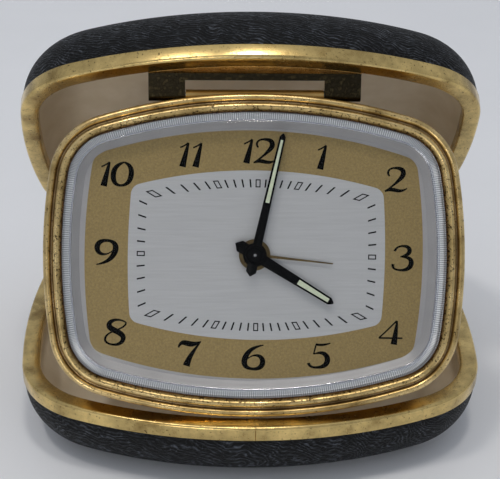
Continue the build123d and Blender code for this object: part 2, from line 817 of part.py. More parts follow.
def arbor(at, low, high, shoulder_low, shoulder_high):
    """Arbor with a pivot at each end."""
    return disc(at, arbor_radius, shoulder_low, shoulder_high) + disc(at, pivot_radius, low, high)


def train_arbor(at):
    """Arbor between the plates, its pivots in both."""
    return arbor(at, back_plate_back + end_shake, front_plate_top - end_shake,
                 back_plate_front + end_shake, front_plate_back - end_shake)


def toothed_wheel(at, teeth, module, level, turn):
    """Spoked train wheel at a level."""
    low, high = level - wheel_thickness, level
    solid = gear(at, teeth, module, low, high, turn)
    rim = module*(teeth/2 - dedendum_share) - 2*module
    return spoked(solid, at, low, high, rim, 4*module + arbor_radius, 4, 2*module)


barrel_turn = 0.0
centre_pinion_turn = mesh_turn(centre_pinion_teeth, centre_at, barrel_at, barrel_teeth, barrel_turn)
centre_turn = 0.0
third_pinion_turn = mesh_turn(third_pinion_teeth, third_at, centre_at, centre_teeth, centre_turn)
third_turn = 0.0
fourth_pinion_turn = mesh_turn(fourth_pinion_teeth, fourth_at, third_at, third_teeth, third_turn)
fourth_turn = 0.0
escape_pinion_turn = mesh_turn(escape_pinion_teeth, escape_at, fourth_at, fourth_teeth, fourth_turn)
cannon_turn = 0.0
minute_wheel_turn = mesh_turn(minute_wheel_teeth, minute_wheel_at, centre_at, cannon_teeth, cannon_turn)
setting_turn = mesh_turn(setting_teeth, setting_at, minute_wheel_at, minute_wheel_teeth, minute_wheel_turn)
minute_pinion_turn = 0.0
hour_turn = mesh_turn(hour_wheel_teeth, centre_at, minute_wheel_at, minute_pinion_teeth, minute_pinion_turn)
alarm_turn = 0.0
alarm_setting_turn = mesh_turn(alarm_pinion_teeth, alarm_setting_at, centre_at, alarm_wheel_teeth, alarm_turn)
alarm_barrel_turn = 0.0
alarm_escape_turn = mesh_turn(alarm_escape_pinion_teeth, alarm_escape_at, alarm_barrel_at,
                              alarm_barrel_teeth, alarm_barrel_turn)


def barrel(at, teeth, module, turn):
    """Drum with its toothed flange, open inside for the mainspring."""
    low = barrel_gear_level - barrel_gear_thickness
    drum_radius = module*(teeth/2 - dedendum_share) - barrel_wall
    drum = disc(at, drum_radius, barrel_gear_level, drum_level)
    flange = gear(at, teeth, module, low, barrel_gear_level, turn)
    inside = disc(at, drum_radius - barrel_wall, low + barrel_wall, drum_level - barrel_wall)
    bore = disc(at, winding_arbor_radius + running_clearance, low - cut_overrun, drum_level + cut_overrun)
    return drum + flange - inside - bore


def mainspring(at, teeth, module):
    """Wound mainspring, as the ring that its coils fill in the barrel."""
    low = barrel_gear_level - barrel_gear_thickness + barrel_wall + end_shake
    radius = module*(teeth/2 - dedendum_share) - 2*barrel_wall - spring_gap
    return disc(at, radius, low, drum_level - barrel_wall - end_shake, spring_core_radius)


def winding_arbor(at):
    """Arbor through the barrel and both plates to the key."""
    shaft = disc(at, winding_arbor_radius, knob_end + knob_height/2, front_plate_top - end_shake)
    return shaft


def winding_key(at, turn):
    """Butterfly key: round hub with two rounded wings."""
    low = knob_end
    hub = disc(at, key_hub_radius, low, knob_base)
    wing = extrude(RectangleRounded(key_span, key_wing_height, key_wing_height/2 - glue_gap),
                   amount=key_wing_thickness)
    waist = extrude(Circle(key_wing_height), amount=3*key_wing_thickness)
    notch_place = key_hub_radius + key_wing_height
    wings = wing - Pos(0, notch_place, -key_wing_thickness) * waist \
        - Pos(0, -notch_place, -key_wing_thickness) * waist
    wings = Pos(at[0], at[1], low) * Rot(0, 0, turn) * wings
    bore = disc(at, winding_arbor_radius + glue_gap, knob_end + knob_height/2 - glue_gap,
                knob_base + cut_overrun)
    return hub + wings - bore


def knob(at):
    """Fluted setting knob, pressed on its arbor."""
    body = Circle(knob_radius)
    for flute in range(knob_flutes):
        x, y = spaced((0, 0), knob_radius, 360*flute/knob_flutes)
        body = body - Pos(x, y) * Circle(knob_flute_radius)
    solid = Pos(at[0], at[1], knob_end) * extrude(body, amount=knob_height)
    return solid - disc(at, arbor_radius + glue_gap, knob_end + knob_height/2 - glue_gap,
                        knob_base + cut_overrun)


def setting_arbor(at, teeth, module, low, high, turn):
    """Long arbor from the knob to its pinion under the dial."""
    shaft = disc(at, arbor_radius, knob_end + knob_height/2, high)
    return shaft + gear(at, teeth, module, low, high, turn)


def centre_wheel():
    at = centre_at
    shaft = disc(at, arbor_radius, back_plate_back + end_shake, minute_hand_top + hub_height)
    pinion = gear(at, centre_pinion_teeth, barrel_module,
                  barrel_gear_level - barrel_gear_thickness - pinion_overlap/2,
                  barrel_gear_level + pinion_overlap/2, centre_pinion_turn)
    return toothed_wheel(at, centre_teeth, centre_module, centre_level, centre_turn) + pinion + shaft


def pinion_for(at, teeth, module, level, turn):
    """Pinion that straddles a wheel at a level."""
    return gear(at, teeth, module, level - wheel_thickness - pinion_overlap, level + pinion_overlap, turn)


def third_wheel():
    return toothed_wheel(third_at, third_teeth, third_module, third_level, third_turn) + \
        pinion_for(third_at, third_pinion_teeth, centre_module, centre_level, third_pinion_turn) + \
        train_arbor(third_at)


def fourth_wheel():
    return toothed_wheel(fourth_at, fourth_teeth, fourth_module, fourth_level, fourth_turn) + \
        pinion_for(fourth_at, fourth_pinion_teeth, third_module, third_level, fourth_pinion_turn) + \
        train_arbor(fourth_at)


def pointed_wheel(at, teeth, tip, height, low, high):
    """Escape wheel with pointed, slightly raked teeth."""
    points = []
    for tooth in range(teeth):
        start = 360*tooth/teeth
        points.append(spaced((0, 0), tip, start))
        points.append(spaced((0, 0), tip - height, start + 90/teeth))
        points.append(spaced((0, 0), tip - height, start + 270/teeth))
    face = make_face(Polyline(*points, close=True)) - Circle(tip - 2*height)
    hub = Circle(tip - 3*height + arbor_radius) + Rectangle(2*(tip - height), height/2) + \
        Rectangle(height/2, 2*(tip - height))
    return Pos(at[0], at[1], low) * extrude(face + hub, amount=high - low)


def escape_wheel():
    return pointed_wheel(escape_at, escape_teeth, escape_radius, escape_tooth_height,
                         escape_level - wheel_thickness, escape_level) + \
        pinion_for(escape_at, escape_pinion_teeth, fourth_module, fourth_level, escape_pinion_turn) + \
        train_arbor(escape_at)


def pallet_lever():
    """Pin lever: two pins towards the escape wheel, and a fork towards the balance."""
    low, high = lever_level - lever_thickness, lever_level
    below = low - 2*lever_thickness
    to_wheel = lever_bearing + 180
    body = disc(lever_at, 3*pallet_pin_radius + arbor_radius, below, below + lever_thickness)
    solid = body + train_arbor(lever_at)
    for side in (-1, 1):
        pin_at = pallet_pin_place(side)
        reach = math.dist(lever_at, pin_at)
        bearing = math.degrees(math.atan2(pin_at[1] - lever_at[1], pin_at[0] - lever_at[0]))
        arm = extrude(Pos(reach/2, 0) * Rectangle(reach, 4*pallet_pin_radius), amount=lever_thickness)
        solid = solid + Pos(lever_at[0], lever_at[1], below) * Rot(0, 0, bearing) * arm
        solid = solid + disc(pin_at, 2*pallet_pin_radius, below, below + lever_thickness)
        solid = solid + disc(pin_at, pallet_pin_radius, below, high)
    # The fork ends just short of the circle of the impulse pin
    lever_arm = balance_distance - impulse_pin_place - impulse_pin_radius - fork_width/2 - end_shake
    fork = Pos(lever_arm/2, 0) * Rectangle(lever_arm, fork_width/2) + \
        Pos(lever_arm, 0) * Rectangle(fork_width, fork_width) - \
        Pos(lever_arm + fork_width/2, 0) * Rectangle(fork_width, fork_slot)
    return solid + Pos(lever_at[0], lever_at[1], below) * Rot(0, 0, balance_bearing) * \
        extrude(fork, amount=lever_thickness)


def pallet_pin_place(side):
    """Pins stand clear of the tooth tips by what the lever dips at the end of its swing."""
    bearing = lever_bearing + side*pallet_spread/2
    dip = lever_distance*math.sin(math.radians(pallet_spread/2))*math.radians(lever_swing)
    return spaced(escape_at, escape_radius + pallet_pin_radius + running_clearance + dip, bearing)


def balance_wheel():
    """Three-armed balance with staff, roller and impulse pin."""
    at = balance_at
    low, high = balance_level, balance_level + balance_rim_thickness
    rim = disc(at, balance_radius, low, high, balance_radius - balance_rim_width)
    solid = rim + disc(at, arbor_radius*2, low, high)
    for arm in range(3):
        spoke = Pos(balance_radius/2, 0, balance_rim_thickness/2) * \
            Box(balance_radius, balance_arm_width, balance_rim_thickness/2)
        inner = spoke - Rot(0, 0, 0) * (extrude(Circle(2*balance_radius) - Circle(
            balance_radius - balance_rim_width/2), amount=balance_rim_thickness))
        solid = solid + Pos(at[0], at[1], low) * Rot(0, 0, 120*arm) * inner
    staff = disc(at, arbor_radius, back_plate_front + end_shake, front_plate_back - end_shake) + \
        disc(at, pivot_radius, back_plate_back + end_shake, front_plate_top - end_shake)
    lever_low = lever_level - 3*lever_thickness
    roller = disc(at, roller_radius, lever_low - 3*lever_thickness, lever_low - 2*lever_thickness)
    pin = disc(spaced(at, impulse_pin_place, balance_bearing + 180), impulse_pin_radius,
               lever_low - 2*lever_thickness, lever_low + lever_thickness)
    collet = disc(at, collet_radius, hairspring_level, hairspring_level + hairspring_height)
    return solid + staff + roller + pin + collet


def hairspring():
    """Flat spiral of half-turn arcs about two centres, pinned to a stud on the back plate."""
    at = balance_at
    solid = Part()
    radius = collet_radius + running_clearance + hairspring_pitch/4
    height = hairspring_height
    for half_turn in range(2*hairspring_turns):
        shift = hairspring_pitch/4 if half_turn % 2 else -hairspring_pitch/4
        ring = Circle(radius + hairspring_strip) - Circle(radius)
        side = 1 if half_turn % 2 else -1
        mask = Pos(0, side*2*balance_radius) * Rectangle(4*balance_radius, 4*balance_radius)
        solid = solid + extrude(Pos(shift, 0) * (ring & mask), amount=height)
        radius += hairspring_pitch/2
    stud = Pos(radius - hairspring_pitch/4 + hairspring_strip/2, 0, (height - 2*wheel_thickness)/2) * \
        Box(4*hairspring_strip, 4*hairspring_strip, height + 2*wheel_thickness)
    spiral = Pos(at[0], at[1], hairspring_level) * (solid + stud)
    return spiral & block_between((-plate_width, -plate_height, back_plate_front),
                                  (plate_width, plate_height, 0))


def balance_jewels():
    """The two ring jewels that carry the balance staff."""
    jewels = Part()
    regulator_seat = back_plate_back - glue_gap - regulator_thickness
    for low, high in ((regulator_seat, back_plate_front), (front_plate_back, front_plate_top)):
        jewels = jewels + disc(balance_at, jewel_radius, low, high, pivot_radius + running_clearance)
    return jewels


def regulator_lever():
    """Regulator: split ring round the balance jewel, and a tail out through the back cover."""
    low = back_plate_back - glue_gap - regulator_thickness
    bore = Circle(jewel_radius + running_clearance)
    ring = Circle(regulator_ring_radius) - bore
    tail = Pos(regulator_length/2, 0) * Rectangle(regulator_length, regulator_width) - bore
    flat = extrude(ring + tail, amount=regulator_thickness)
    tab_depth = -back_depth - knob_gap - low
    tab = Pos(regulator_length - regulator_width, 0, tab_depth/2) * \
        Box(regulator_width, regulator_width, abs(tab_depth))
    return Pos(balance_at[0], balance_at[1], low) * Rot(0, 0, regulator_bearing) * (flat + tab)


# Motion work

alarm_wheel_top = dial_back - pinion_overlap
hour_wheel_top = alarm_wheel_top - 2*wheel_thickness
minute_wheel_top = front_plate_top + end_shake + wheel_thickness + pinion_overlap
minute_pinion_top = hour_wheel_top + wheel_thickness/2
cannon_radius = arbor_radius + running_clearance + tube_wall
hour_pipe_radius = cannon_radius + running_clearance + tube_wall
alarm_pipe_radius = hour_pipe_radius + running_clearance + tube_wall
alarm_hand_top = dial_level + hand_gap + hand_thickness
hour_hand_top = alarm_hand_top + hand_gap + hand_thickness
minute_hand_top = hour_hand_top + hand_gap + hand_thickness


def cannon_pinion():
    """Cannon pinion: tube on the centre arbor with teeth at its foot."""
    at = centre_at
    low = front_plate_top + end_shake
    teeth = gear(at, cannon_teeth, cannon_module, low, minute_wheel_top + pinion_overlap, cannon_turn)
    tube = disc(at, cannon_radius, low, minute_hand_top)
    bore = disc(at, arbor_radius + running_clearance, low - cut_overrun, minute_hand_top + cut_overrun)
    return teeth + tube - bore


def minute_wheel():
    """Wheel and pinion that carry the drive from the minute to the hour hand."""
    at = minute_wheel_at
    low = minute_wheel_top - wheel_thickness
    wheel = gear(at, minute_wheel_teeth, cannon_module, low, minute_wheel_top, minute_wheel_turn)
    pinion = gear(at, minute_pinion_teeth, hour_module, minute_wheel_top, minute_pinion_top,
                  minute_pinion_turn)
    bore = disc(at, arbor_radius + running_clearance, low - cut_overrun, dial_back)
    return wheel + pinion - bore


def piped_wheel(teeth, module, top, turn, pipe_radius, pipe_bore, pipe_top):
    """Wheel with a pipe that carries a hand."""
    wheel = toothed_wheel(centre_at, teeth, module, top, turn)
    pipe = disc(centre_at, pipe_radius, top - wheel_thickness, pipe_top)
    bore = disc(centre_at, pipe_bore, top - wheel_thickness - cut_overrun, pipe_top + cut_overrun)
    return wheel + pipe - bore


def hour_wheel():
    return piped_wheel(hour_wheel_teeth, hour_module, hour_wheel_top, hour_turn, hour_pipe_radius,
                       cannon_radius + running_clearance, hour_hand_top)


def alarm_wheel():
    return piped_wheel(alarm_wheel_teeth, alarm_module, alarm_wheel_top, alarm_turn, alarm_pipe_radius,
                       hour_pipe_radius + running_clearance, alarm_hand_top)


# Hands

def hand_blade(length, tail, width, tip_width):
    """Tapered blade along +Y with a blunt point at each end."""
    shoulder = length - tip_width*point_share
    tail_shoulder = tail - width*point_share
    points = [(-width/2, 0), (-tip_width/2, shoulder), (0, length), (tip_width/2, shoulder), (width/2, 0),
              (width/2, -tail_shoulder), (0, -tail), (-width/2, -tail_shoulder)]
    return make_face(Polyline(*points, close=True))


def lume_strip(length, width, tip_width):
    """Luminous strip let into the outer part of a blade."""
    start, end = lume_start_share*length, lume_end_share*length - tip_width*point_share/2
    wide = width - (width - tip_width)*start/length - 2*lume_margin
    narrow = width - (width - tip_width)*end/length - 2*lume_margin
    return make_face(Polyline((-wide/2, start), (-narrow/2, end), (narrow/2, end), (wide/2, start), close=True))


def hand(blade, strip, hub_radius, bore, top, bearing, cap_height):
    """Hand with its hub and a recess for the luminous strip."""
    flat = blade + Circle(hub_radius)
    solid = extrude(flat, amount=hand_thickness)
    if strip:
        recess = Pos(0, 0, hand_thickness - lume_thickness) * extrude(strip, amount=hand_thickness)
        solid = solid - recess
    solid = solid + extrude(Circle(hub_radius), amount=cap_height)
    hole = Pos(0, 0, -cut_overrun) * extrude(Circle(bore), amount=cap_height + 2*cut_overrun)
    return Pos(0, 0, top - hand_thickness) * Rot(0, 0, -bearing) * (solid - hole)


def lume(strip, top, bearing):
    solid = extrude(strip, amount=lume_thickness)
    return Pos(0, 0, top - lume_thickness) * Rot(0, 0, -bearing) * solid


minute_blade = (minute_hand_length, minute_hand_tail, minute_hand_width, minute_hand_tip_width)
hour_blade = (hour_hand_length, hour_hand_tail, hour_hand_width, hour_hand_tip_width)


def strip_of(blade):
    length, _, width, tip_width = blade
    return lume_strip(length, width, tip_width)


def minute_hand():
    return hand(hand_blade(*minute_blade), strip_of(minute_blade), minute_hub_radius,
                cannon_radius + glue_gap, minute_hand_top, minute_hand_bearing, hub_height)


def hour_hand():
    return hand(hand_blade(*hour_blade), strip_of(hour_blade), hour_hub_radius,
                hour_pipe_radius + glue_gap, hour_hand_top, hour_hand_bearing, hub_height)


def alarm_hand():
    points = [(-alarm_hand_width/2, 0), (-alarm_hand_tip_width/2, alarm_hand_length),
              (alarm_hand_tip_width/2, alarm_hand_length), (alarm_hand_width/2, 0)]
    blade = make_face(Polyline(*points, close=True))
    return hand(blade, None, alarm_boss_radius, alarm_pipe_radius + glue_gap, alarm_hand_top,
                alarm_hand_bearing, hub_height)


# Alarm

def alarm_escape_wheel():
    return pointed_wheel(alarm_escape_at, alarm_escape_teeth, alarm_escape_radius,
                         alarm_escape_tooth_height, centre_level - wheel_thickness, centre_level) + \
        gear(alarm_escape_at, alarm_escape_pinion_teeth, alarm_barrel_module,
             barrel_gear_level - barrel_gear_thickness - pinion_overlap/2,
             barrel_gear_level + pinion_overlap/2, alarm_escape_turn) + train_arbor(alarm_escape_at)


def alarm_hammer():
    """Hammer: arbor with a verge towards the alarm escape wheel, arm and head."""
    at = hammer_at
    level = centre_level - wheel_thickness/2
    arm = extrude(Pos(hammer_arm/2, 0) * Rectangle(hammer_arm, hammer_arm_width), amount=wheel_thickness)
    solid = train_arbor(at) + \
        Pos(at[0], at[1], level - wheel_thickness/2) * Rot(0, 0, hammer_arm_bearing) * arm
    head = spaced(at, hammer_arm, hammer_arm_bearing)
    solid = solid + disc(head, hammer_head_radius, level - hammer_head_height/2, level + hammer_head_height/2)
    verge = hammer_distance - alarm_escape_radius - running_clearance - arbor_radius/2
    flag = extrude(Pos(verge/2, 0) * Rectangle(verge, hammer_arm_width), amount=wheel_thickness)
    return solid + Pos(at[0], at[1], level - wheel_thickness/2) * Rot(0, 0, hammer_bearing + 180) * flag


def alarm_stop_button():
    """Push button through the back cover and back plate."""
    stem_end = back_plate_front - end_shake
    stem = disc(stop_at, stop_radius, -back_depth - stop_travel - knob_gap, stem_end)
    cap_top = -back_depth - stop_travel - knob_gap
    cap = disc(stop_at, stop_cap_radius, cap_top - stop_cap_height, cap_top)
    rim = cap.edges().group_by(Axis.Z)[0]
    return fillet(rim, radius=stop_cap_height/3) + stem


outer_spans, centre_spans = rear_spans()

case_nodes = {
    "base_shell": shell_steel,
    "base_leather": shell_leather,
    "base_rim": lambda: shell_rim(False),
    "base_lining": shell_lining,
    "rear_hinge_base_leaf": lambda: rear_leaf(outer_spans, rear_pin_radius),
    "rear_hinge_pin": rear_pin}

lid_nodes = {
    "lid_shell": shell_steel,
    "lid_leather": shell_leather,
    "lid_rim": lambda: shell_rim(True),
    "lid_lining": shell_lining,
    "rear_hinge_lid_leaf": lambda: Rot(0, 0, 180) * rear_leaf(centre_spans, rear_pin_radius + bore_clearance),
    "head_hinge_plate": head_hinge_plate,
    "head_hinge_pin": head_hinge_pin}

head_nodes = {
    "head_hinge_leaf": head_hinge_leaf,
    "bezel": bezel,
    "crystal": crystal,
    "rehaut_ring": rehaut_ring,
    "dial": dial,
    "back_case": back_case,
    "case_screws": case_screws,
    "front_plate": front_plate,
    "back_plate": back_plate,
    "plate_pillars": plate_pillars,
    "pillar_nuts": pillar_nuts,
    "time_barrel": lambda: barrel(barrel_at, barrel_teeth, barrel_module, barrel_turn),
    "time_mainspring": lambda: mainspring(barrel_at, barrel_teeth, barrel_module),
    "time_winding_arbor": lambda: winding_arbor(barrel_at),
    "time_key": lambda: winding_key(barrel_at, 0),
    "alarm_barrel": lambda: barrel(alarm_barrel_at, alarm_barrel_teeth, alarm_barrel_module,
                                   alarm_barrel_turn),
    "alarm_mainspring": lambda: mainspring(alarm_barrel_at, alarm_barrel_teeth, alarm_barrel_module),
    "alarm_winding_arbor": lambda: winding_arbor(alarm_barrel_at),
    "alarm_key": lambda: winding_key(alarm_barrel_at, 0),
    "centre_wheel": centre_wheel,
    "third_wheel": third_wheel,
    "fourth_wheel": fourth_wheel,
    "escape_wheel": escape_wheel,
    "pallet_lever": pallet_lever,
    "balance_wheel": balance_wheel,
    "hairspring": hairspring,
    "balance_jewels": balance_jewels,
    "regulator_lever": regulator_lever,
    "cannon_pinion": cannon_pinion,
    "minute_wheel": minute_wheel,
    "hour_wheel": hour_wheel,
    "alarm_wheel": alarm_wheel,
    "hand_setting_arbor": lambda: setting_arbor(setting_at, setting_teeth, cannon_module,
                                                minute_wheel_top - wheel_thickness - end_shake/2,
                                                minute_wheel_top + pinion_overlap, setting_turn),
    "hand_setting_knob": lambda: knob(setting_at),
    "alarm_setting_arbor": lambda: setting_arbor(alarm_setting_at, alarm_pinion_teeth, alarm_module,
                                                 alarm_wheel_top - wheel_thickness - pinion_overlap,
                                                 dial_back - end_shake, alarm_setting_turn),
    "alarm_setting_knob": lambda: knob(alarm_setting_at),
    "minute_hand": minute_hand,
    "minute_hand_lume": lambda: lume(strip_of(minute_blade), minute_hand_top, minute_hand_bearing),
    "hour_hand": hour_hand,
    "hour_hand_lume": lambda: lume(strip_of(hour_blade), hour_hand_top, hour_hand_bearing),
    "alarm_hand": alarm_hand,
    "alarm_escape_wheel": alarm_escape_wheel,
    "alarm_hammer": alarm_hammer,
    "alarm_stop_button": alarm_stop_button}


def build_nodes():
    """Every node by name, in its place on the open clock."""
    nodes = {name: make() for name, make in case_nodes.items()}
    nodes.update({name: lid_place * make() for name, make in lid_nodes.items()})
    nodes.update({name: head_place * make() for name, make in head_nodes.items()})
    return nodes


os.makedirs("parts", exist_ok=True)
parts = build_nodes()
for node, solid in parts.items():
    export_step(solid, f"parts/{node}.step")
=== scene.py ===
"""Folding travel alarm clock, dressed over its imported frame: grained leather shells with gilt rims,
a gilt bezel, a moulded crystal, a ribbed silver ring and a printed dial with luminous hands."""

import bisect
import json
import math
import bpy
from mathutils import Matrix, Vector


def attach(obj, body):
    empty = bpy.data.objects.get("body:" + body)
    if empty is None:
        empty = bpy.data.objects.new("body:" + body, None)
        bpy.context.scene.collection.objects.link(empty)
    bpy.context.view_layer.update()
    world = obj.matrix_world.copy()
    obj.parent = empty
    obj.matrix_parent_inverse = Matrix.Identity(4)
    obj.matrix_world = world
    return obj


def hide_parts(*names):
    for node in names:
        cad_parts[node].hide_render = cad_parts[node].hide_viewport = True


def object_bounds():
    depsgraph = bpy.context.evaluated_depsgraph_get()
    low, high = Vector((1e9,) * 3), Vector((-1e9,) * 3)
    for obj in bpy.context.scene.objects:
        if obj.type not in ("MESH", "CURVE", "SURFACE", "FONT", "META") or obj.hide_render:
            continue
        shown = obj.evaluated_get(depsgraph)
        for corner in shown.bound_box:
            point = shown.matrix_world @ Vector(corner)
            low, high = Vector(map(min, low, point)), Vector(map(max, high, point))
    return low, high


bl_info = {
    "name": "Folding Travel Clock",
    "version": (1, 0, 0),
    "blender": (4, 5, 0),
    "location": "View3D > Sidebar > Clock",
    "description": "Leather shells, gilt metalwork, crystal and printed dial of a folding alarm clock",
    "category": "Object",
}

import bmesh
import bpy
from bpy.props import FloatProperty, FloatVectorProperty, PointerProperty
from mathutils import Matrix, Vector

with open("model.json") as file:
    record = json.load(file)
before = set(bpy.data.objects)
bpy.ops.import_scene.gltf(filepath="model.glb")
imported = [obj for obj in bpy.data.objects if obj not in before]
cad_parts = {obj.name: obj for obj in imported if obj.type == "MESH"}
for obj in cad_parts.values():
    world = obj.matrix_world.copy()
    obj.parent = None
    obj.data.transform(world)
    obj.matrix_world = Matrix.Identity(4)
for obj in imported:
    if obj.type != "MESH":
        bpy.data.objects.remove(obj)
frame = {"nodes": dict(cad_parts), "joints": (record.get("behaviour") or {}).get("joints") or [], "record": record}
cad_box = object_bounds()

MM = 0.001

# Outlines of eight arcs, in millimetres: width, height, and radii of the long sides, short sides and corners
CASE = (104.0, 88.0, 96.0, 160.0, 21.5)
HEAD = (87.3, 66.9, 112.0, 111.0, 14.2)
GOLD_FIELD = (71.06, 52.14, 104.2, 123.3, 3.6)
PANEL = (54.02, 35.58, 97.1, 165.6, 2.3)

# Height of a shell's rim over its underside, level of the dial in the face frame, turn of its print
RIM_LEVEL = 17.0
DIAL_LEVEL = -4.0
PRINT_TURN = math.radians(-0.9)

# Axis of the head's hinge, seen from the face: up from the middle of the dial, and behind it
FOLD_UP = 33.3
FOLD_BEHIND = 3.45

# The same axis, seen from the rear hinge: over the plane of the lid's rim, and along it
FOLD_RISE = 2.9
FOLD_ALONG = 78.7


def linear(code):
    """Linear colour of an sRGB hex code."""
    channels = [int(code[i:i + 2], 16)/255 for i in (1, 3, 5)]
    return tuple(c/12.92 if c <= 0.04045 else ((c + 0.055)/1.055)**2.4 for c in channels)


# Places of the two shells and of the head in the open clock
joints = {joint["name"]: joint for joint in frame["joints"]}


def head_frame():
    """Face frame: X to the right, Y up along the dial, Z out of the dial, in millimetres."""
    into = Vector(joints["minute_hand_turn"]["axis"])
    up, out = Vector((0, -into.z, into.y)), -into
    fold = Vector(joints["head_fold"]["pos_m"])
    origin = fold - up*FOLD_UP*MM + out*FOLD_BEHIND*MM
    turn = Matrix(((1, up.x, out.x), (0, up.y, out.y), (0, up.z, out.z))).to_4x4()
    return Matrix.Translation(origin) @ turn @ Matrix.Scale(MM, 4)


def lid_frame():
    """Frame of the upper shell, which stands open on the rear hinge, in millimetres."""
    hinge = Vector(joints["lid_hinge"]["pos_m"])
    fold = Vector(joints["head_fold"]["pos_m"])
    opening = math.atan2(fold.z - hinge.z, hinge.y - fold.y) + math.atan2(FOLD_RISE, FOLD_ALONG)
    return (Matrix.Translation(hinge) @ Matrix.Rotation(-opening, 4, "X")
            @ Matrix.Translation(-hinge.y*Vector((0, 1, 0))) @ Matrix.Rotation(math.pi, 4, "X")
            @ Matrix.Translation((0, 0, -RIM_LEVEL*MM)) @ Matrix.Scale(MM, 4))


base_place = Matrix.Scale(MM, 4)
lid_place = lid_frame()
head_place = head_frame()
dial_place = head_place @ Matrix.Rotation(PRINT_TURN, 4, "Z")

# The panel is printed a little to the right of the dial's middle and below it
panel_place = dial_place @ Matrix.Translation((0.5, -0.1, 0))


# Outlines

def stations(shape, spacing):
    """Places round a cushion outline, anticlockwise from the middle of its lower side, each as arc centre,
    arc radius and outward direction, so that every inset has the same number of points."""
    width, height, long_radius, short_radius, corner_radius = shape
    long_centre = Vector((0, height/2 - long_radius))
    short_centre = Vector((width/2 - short_radius, 0))
    reach_long, reach_short = long_radius - corner_radius, short_radius - corner_radius
    span = (short_centre - long_centre).length
    along = (reach_long**2 - reach_short**2 + span**2)/(2*span)
    across = math.sqrt(reach_long**2 - along**2)
    ahead = (short_centre - long_centre).normalized()
    sideways = Vector((-ahead.y, ahead.x))
    corner = max((long_centre + ahead*along + sideways*step for step in (across, -across)),
                 key=lambda point: point.x + point.y)
    first, second = corner - short_centre, corner - long_centre
    low, high = math.atan2(first.y, first.x), math.atan2(second.y, second.x)
    quarter = []
    for centre, radius, start, end in ((short_centre, short_radius, 0, low),
                                       (corner, corner_radius, low, high),
                                       (long_centre, long_radius, high, math.pi/2)):
        steps = max(6, round(radius*(end - start)/spacing))
        for step in range(steps):
            angle = start + (end - start)*step/steps
            quarter.append((centre, radius, Vector((math.cos(angle), math.sin(angle)))))
    quarter.append((long_centre, long_radius, Vector((0, 1))))

    def flipped(marks, x, y):
        return [(Vector((c.x*x, c.y*y)), r, Vector((d.x*x, d.y*y))) for c, r, d in marks]

    back = quarter[::-1]
    ring = (quarter[:-1] + flipped(back, -1, 1)[:-1] + flipped(quarter, -1, -1)[:-1]
            + flipped(back, 1, -1)[:-1])
    start = 3*(len(quarter) - 1)
    return ring[start:] + ring[:start]


def outline(marks, inset, level):
    """One loop of an outline at an inset and a level."""
    return [Vector((c.x + d.x*(r - inset), c.y + d.y*(r - inset), level)) for c, r, d in marks]


def rings(shape, spacing, profile):
    """Loops of an outline, one for each inset and level of a profile."""
    marks = stations(shape, spacing)
    return [outline(marks, inset, level) for inset, level in profile]


def circle(radius, level, count=48):
    """One round loop."""
    angles = [math.tau*i/count for i in range(count)]
    return [Vector((radius*math.sin(angle), -radius*math.cos(angle), level)) for angle in angles]


def arc(centre, radius, start, end, steps):
    """Points of a profile arc as (inset, level), angles in degrees."""
    angles = [math.radians(start + (end - start)*i/steps) for i in range(steps + 1)]
    return [(centre[0] + radius*math.cos(angle), centre[1] + radius*math.sin(angle)) for angle in angles]


# Modelling

# Distance within which points are welded, in millimetres. Every 40th point is enough to measure a way by
WELD = 0.0002
MEASURE_STEP = 40


def begin(name):
    """Names the primitive that has just been added."""
    piece = bpy.context.object
    piece.name = name
    piece.data.name = name
    return piece


def clear_selection():
    if bpy.context.object and bpy.context.object.mode != "OBJECT":
        bpy.ops.object.mode_set(mode="OBJECT")
    bpy.ops.object.select_all(action="DESELECT")


def key_of(vertex):
    return tuple(round(value, 5) for value in vertex.co)


def place_ring(piece, order, points):
    """Moves the selected ring of vertices to new points; order gives each vertex its number in the ring."""
    mesh = bmesh.from_edit_mesh(piece.data)
    chosen = [vertex for vertex in mesh.verts if vertex.select]
    ring = {}
    for vertex in chosen:
        number = order[key_of(vertex)]
        vertex.co = points[number]
        ring[key_of(vertex)] = number
    bmesh.update_edit_mesh(piece.data)
    return ring


def loft(name, loops, closed=False):
    """Skin through loops of equal length: a circle is laid on the first loop and extruded from loop to loop.
    It is filled at both ends, or runs back into its first loop if it is closed. Its UV map holds the way
    along the loops as U and the way across them as V, in millimetres."""
    clear_selection()
    if closed:
        loops = loops + loops[:1]
    count = len(loops[0])
    bpy.ops.mesh.primitive_circle_add(vertices=count, radius=1.0)
    piece = begin(name)
    for vertex in piece.data.vertices:
        vertex.co = loops[0][vertex.index]
    bpy.ops.object.mode_set(mode="EDIT")
    bpy.ops.mesh.select_all(action="SELECT")
    mesh = bmesh.from_edit_mesh(piece.data)
    mesh.verts.ensure_lookup_table()
    ring = {key_of(vertex): vertex.index for vertex in mesh.verts}
    along = [0.0]
    for a, b in zip(loops[0], loops[0][1:] + loops[0][:1]):
        along.append(along[-1] + (b - a).length)
    across = 0.0
    ways = {key: (along[number], 0.0) for key, number in ring.items()}
    if not closed:
        bpy.ops.mesh.edge_face_add()
        bpy.ops.mesh.select_all(action="SELECT")
        bpy.ops.mesh.extrude_region_shrink_fatten(TRANSFORM_OT_shrink_fatten={"value": 0.0})
    for step, points in enumerate(loops[1:]):
        if step or closed:
            bpy.ops.mesh.extrude_region_move()
        pairs = list(zip(loops[step], points))[::MEASURE_STEP]
        across += sum((b - a).length for a, b in pairs)/len(pairs)
        ring = place_ring(piece, ring, points)
        ways.update({key: (along[number], across) for key, number in ring.items()})
    bpy.ops.mesh.select_all(action="SELECT")
    bpy.ops.mesh.remove_doubles(threshold=WELD)
    bpy.ops.mesh.normals_make_consistent(inside=False)
    bpy.ops.object.mode_set(mode="OBJECT")
    lay_ways(piece, ways, along[-1], across)
    return piece


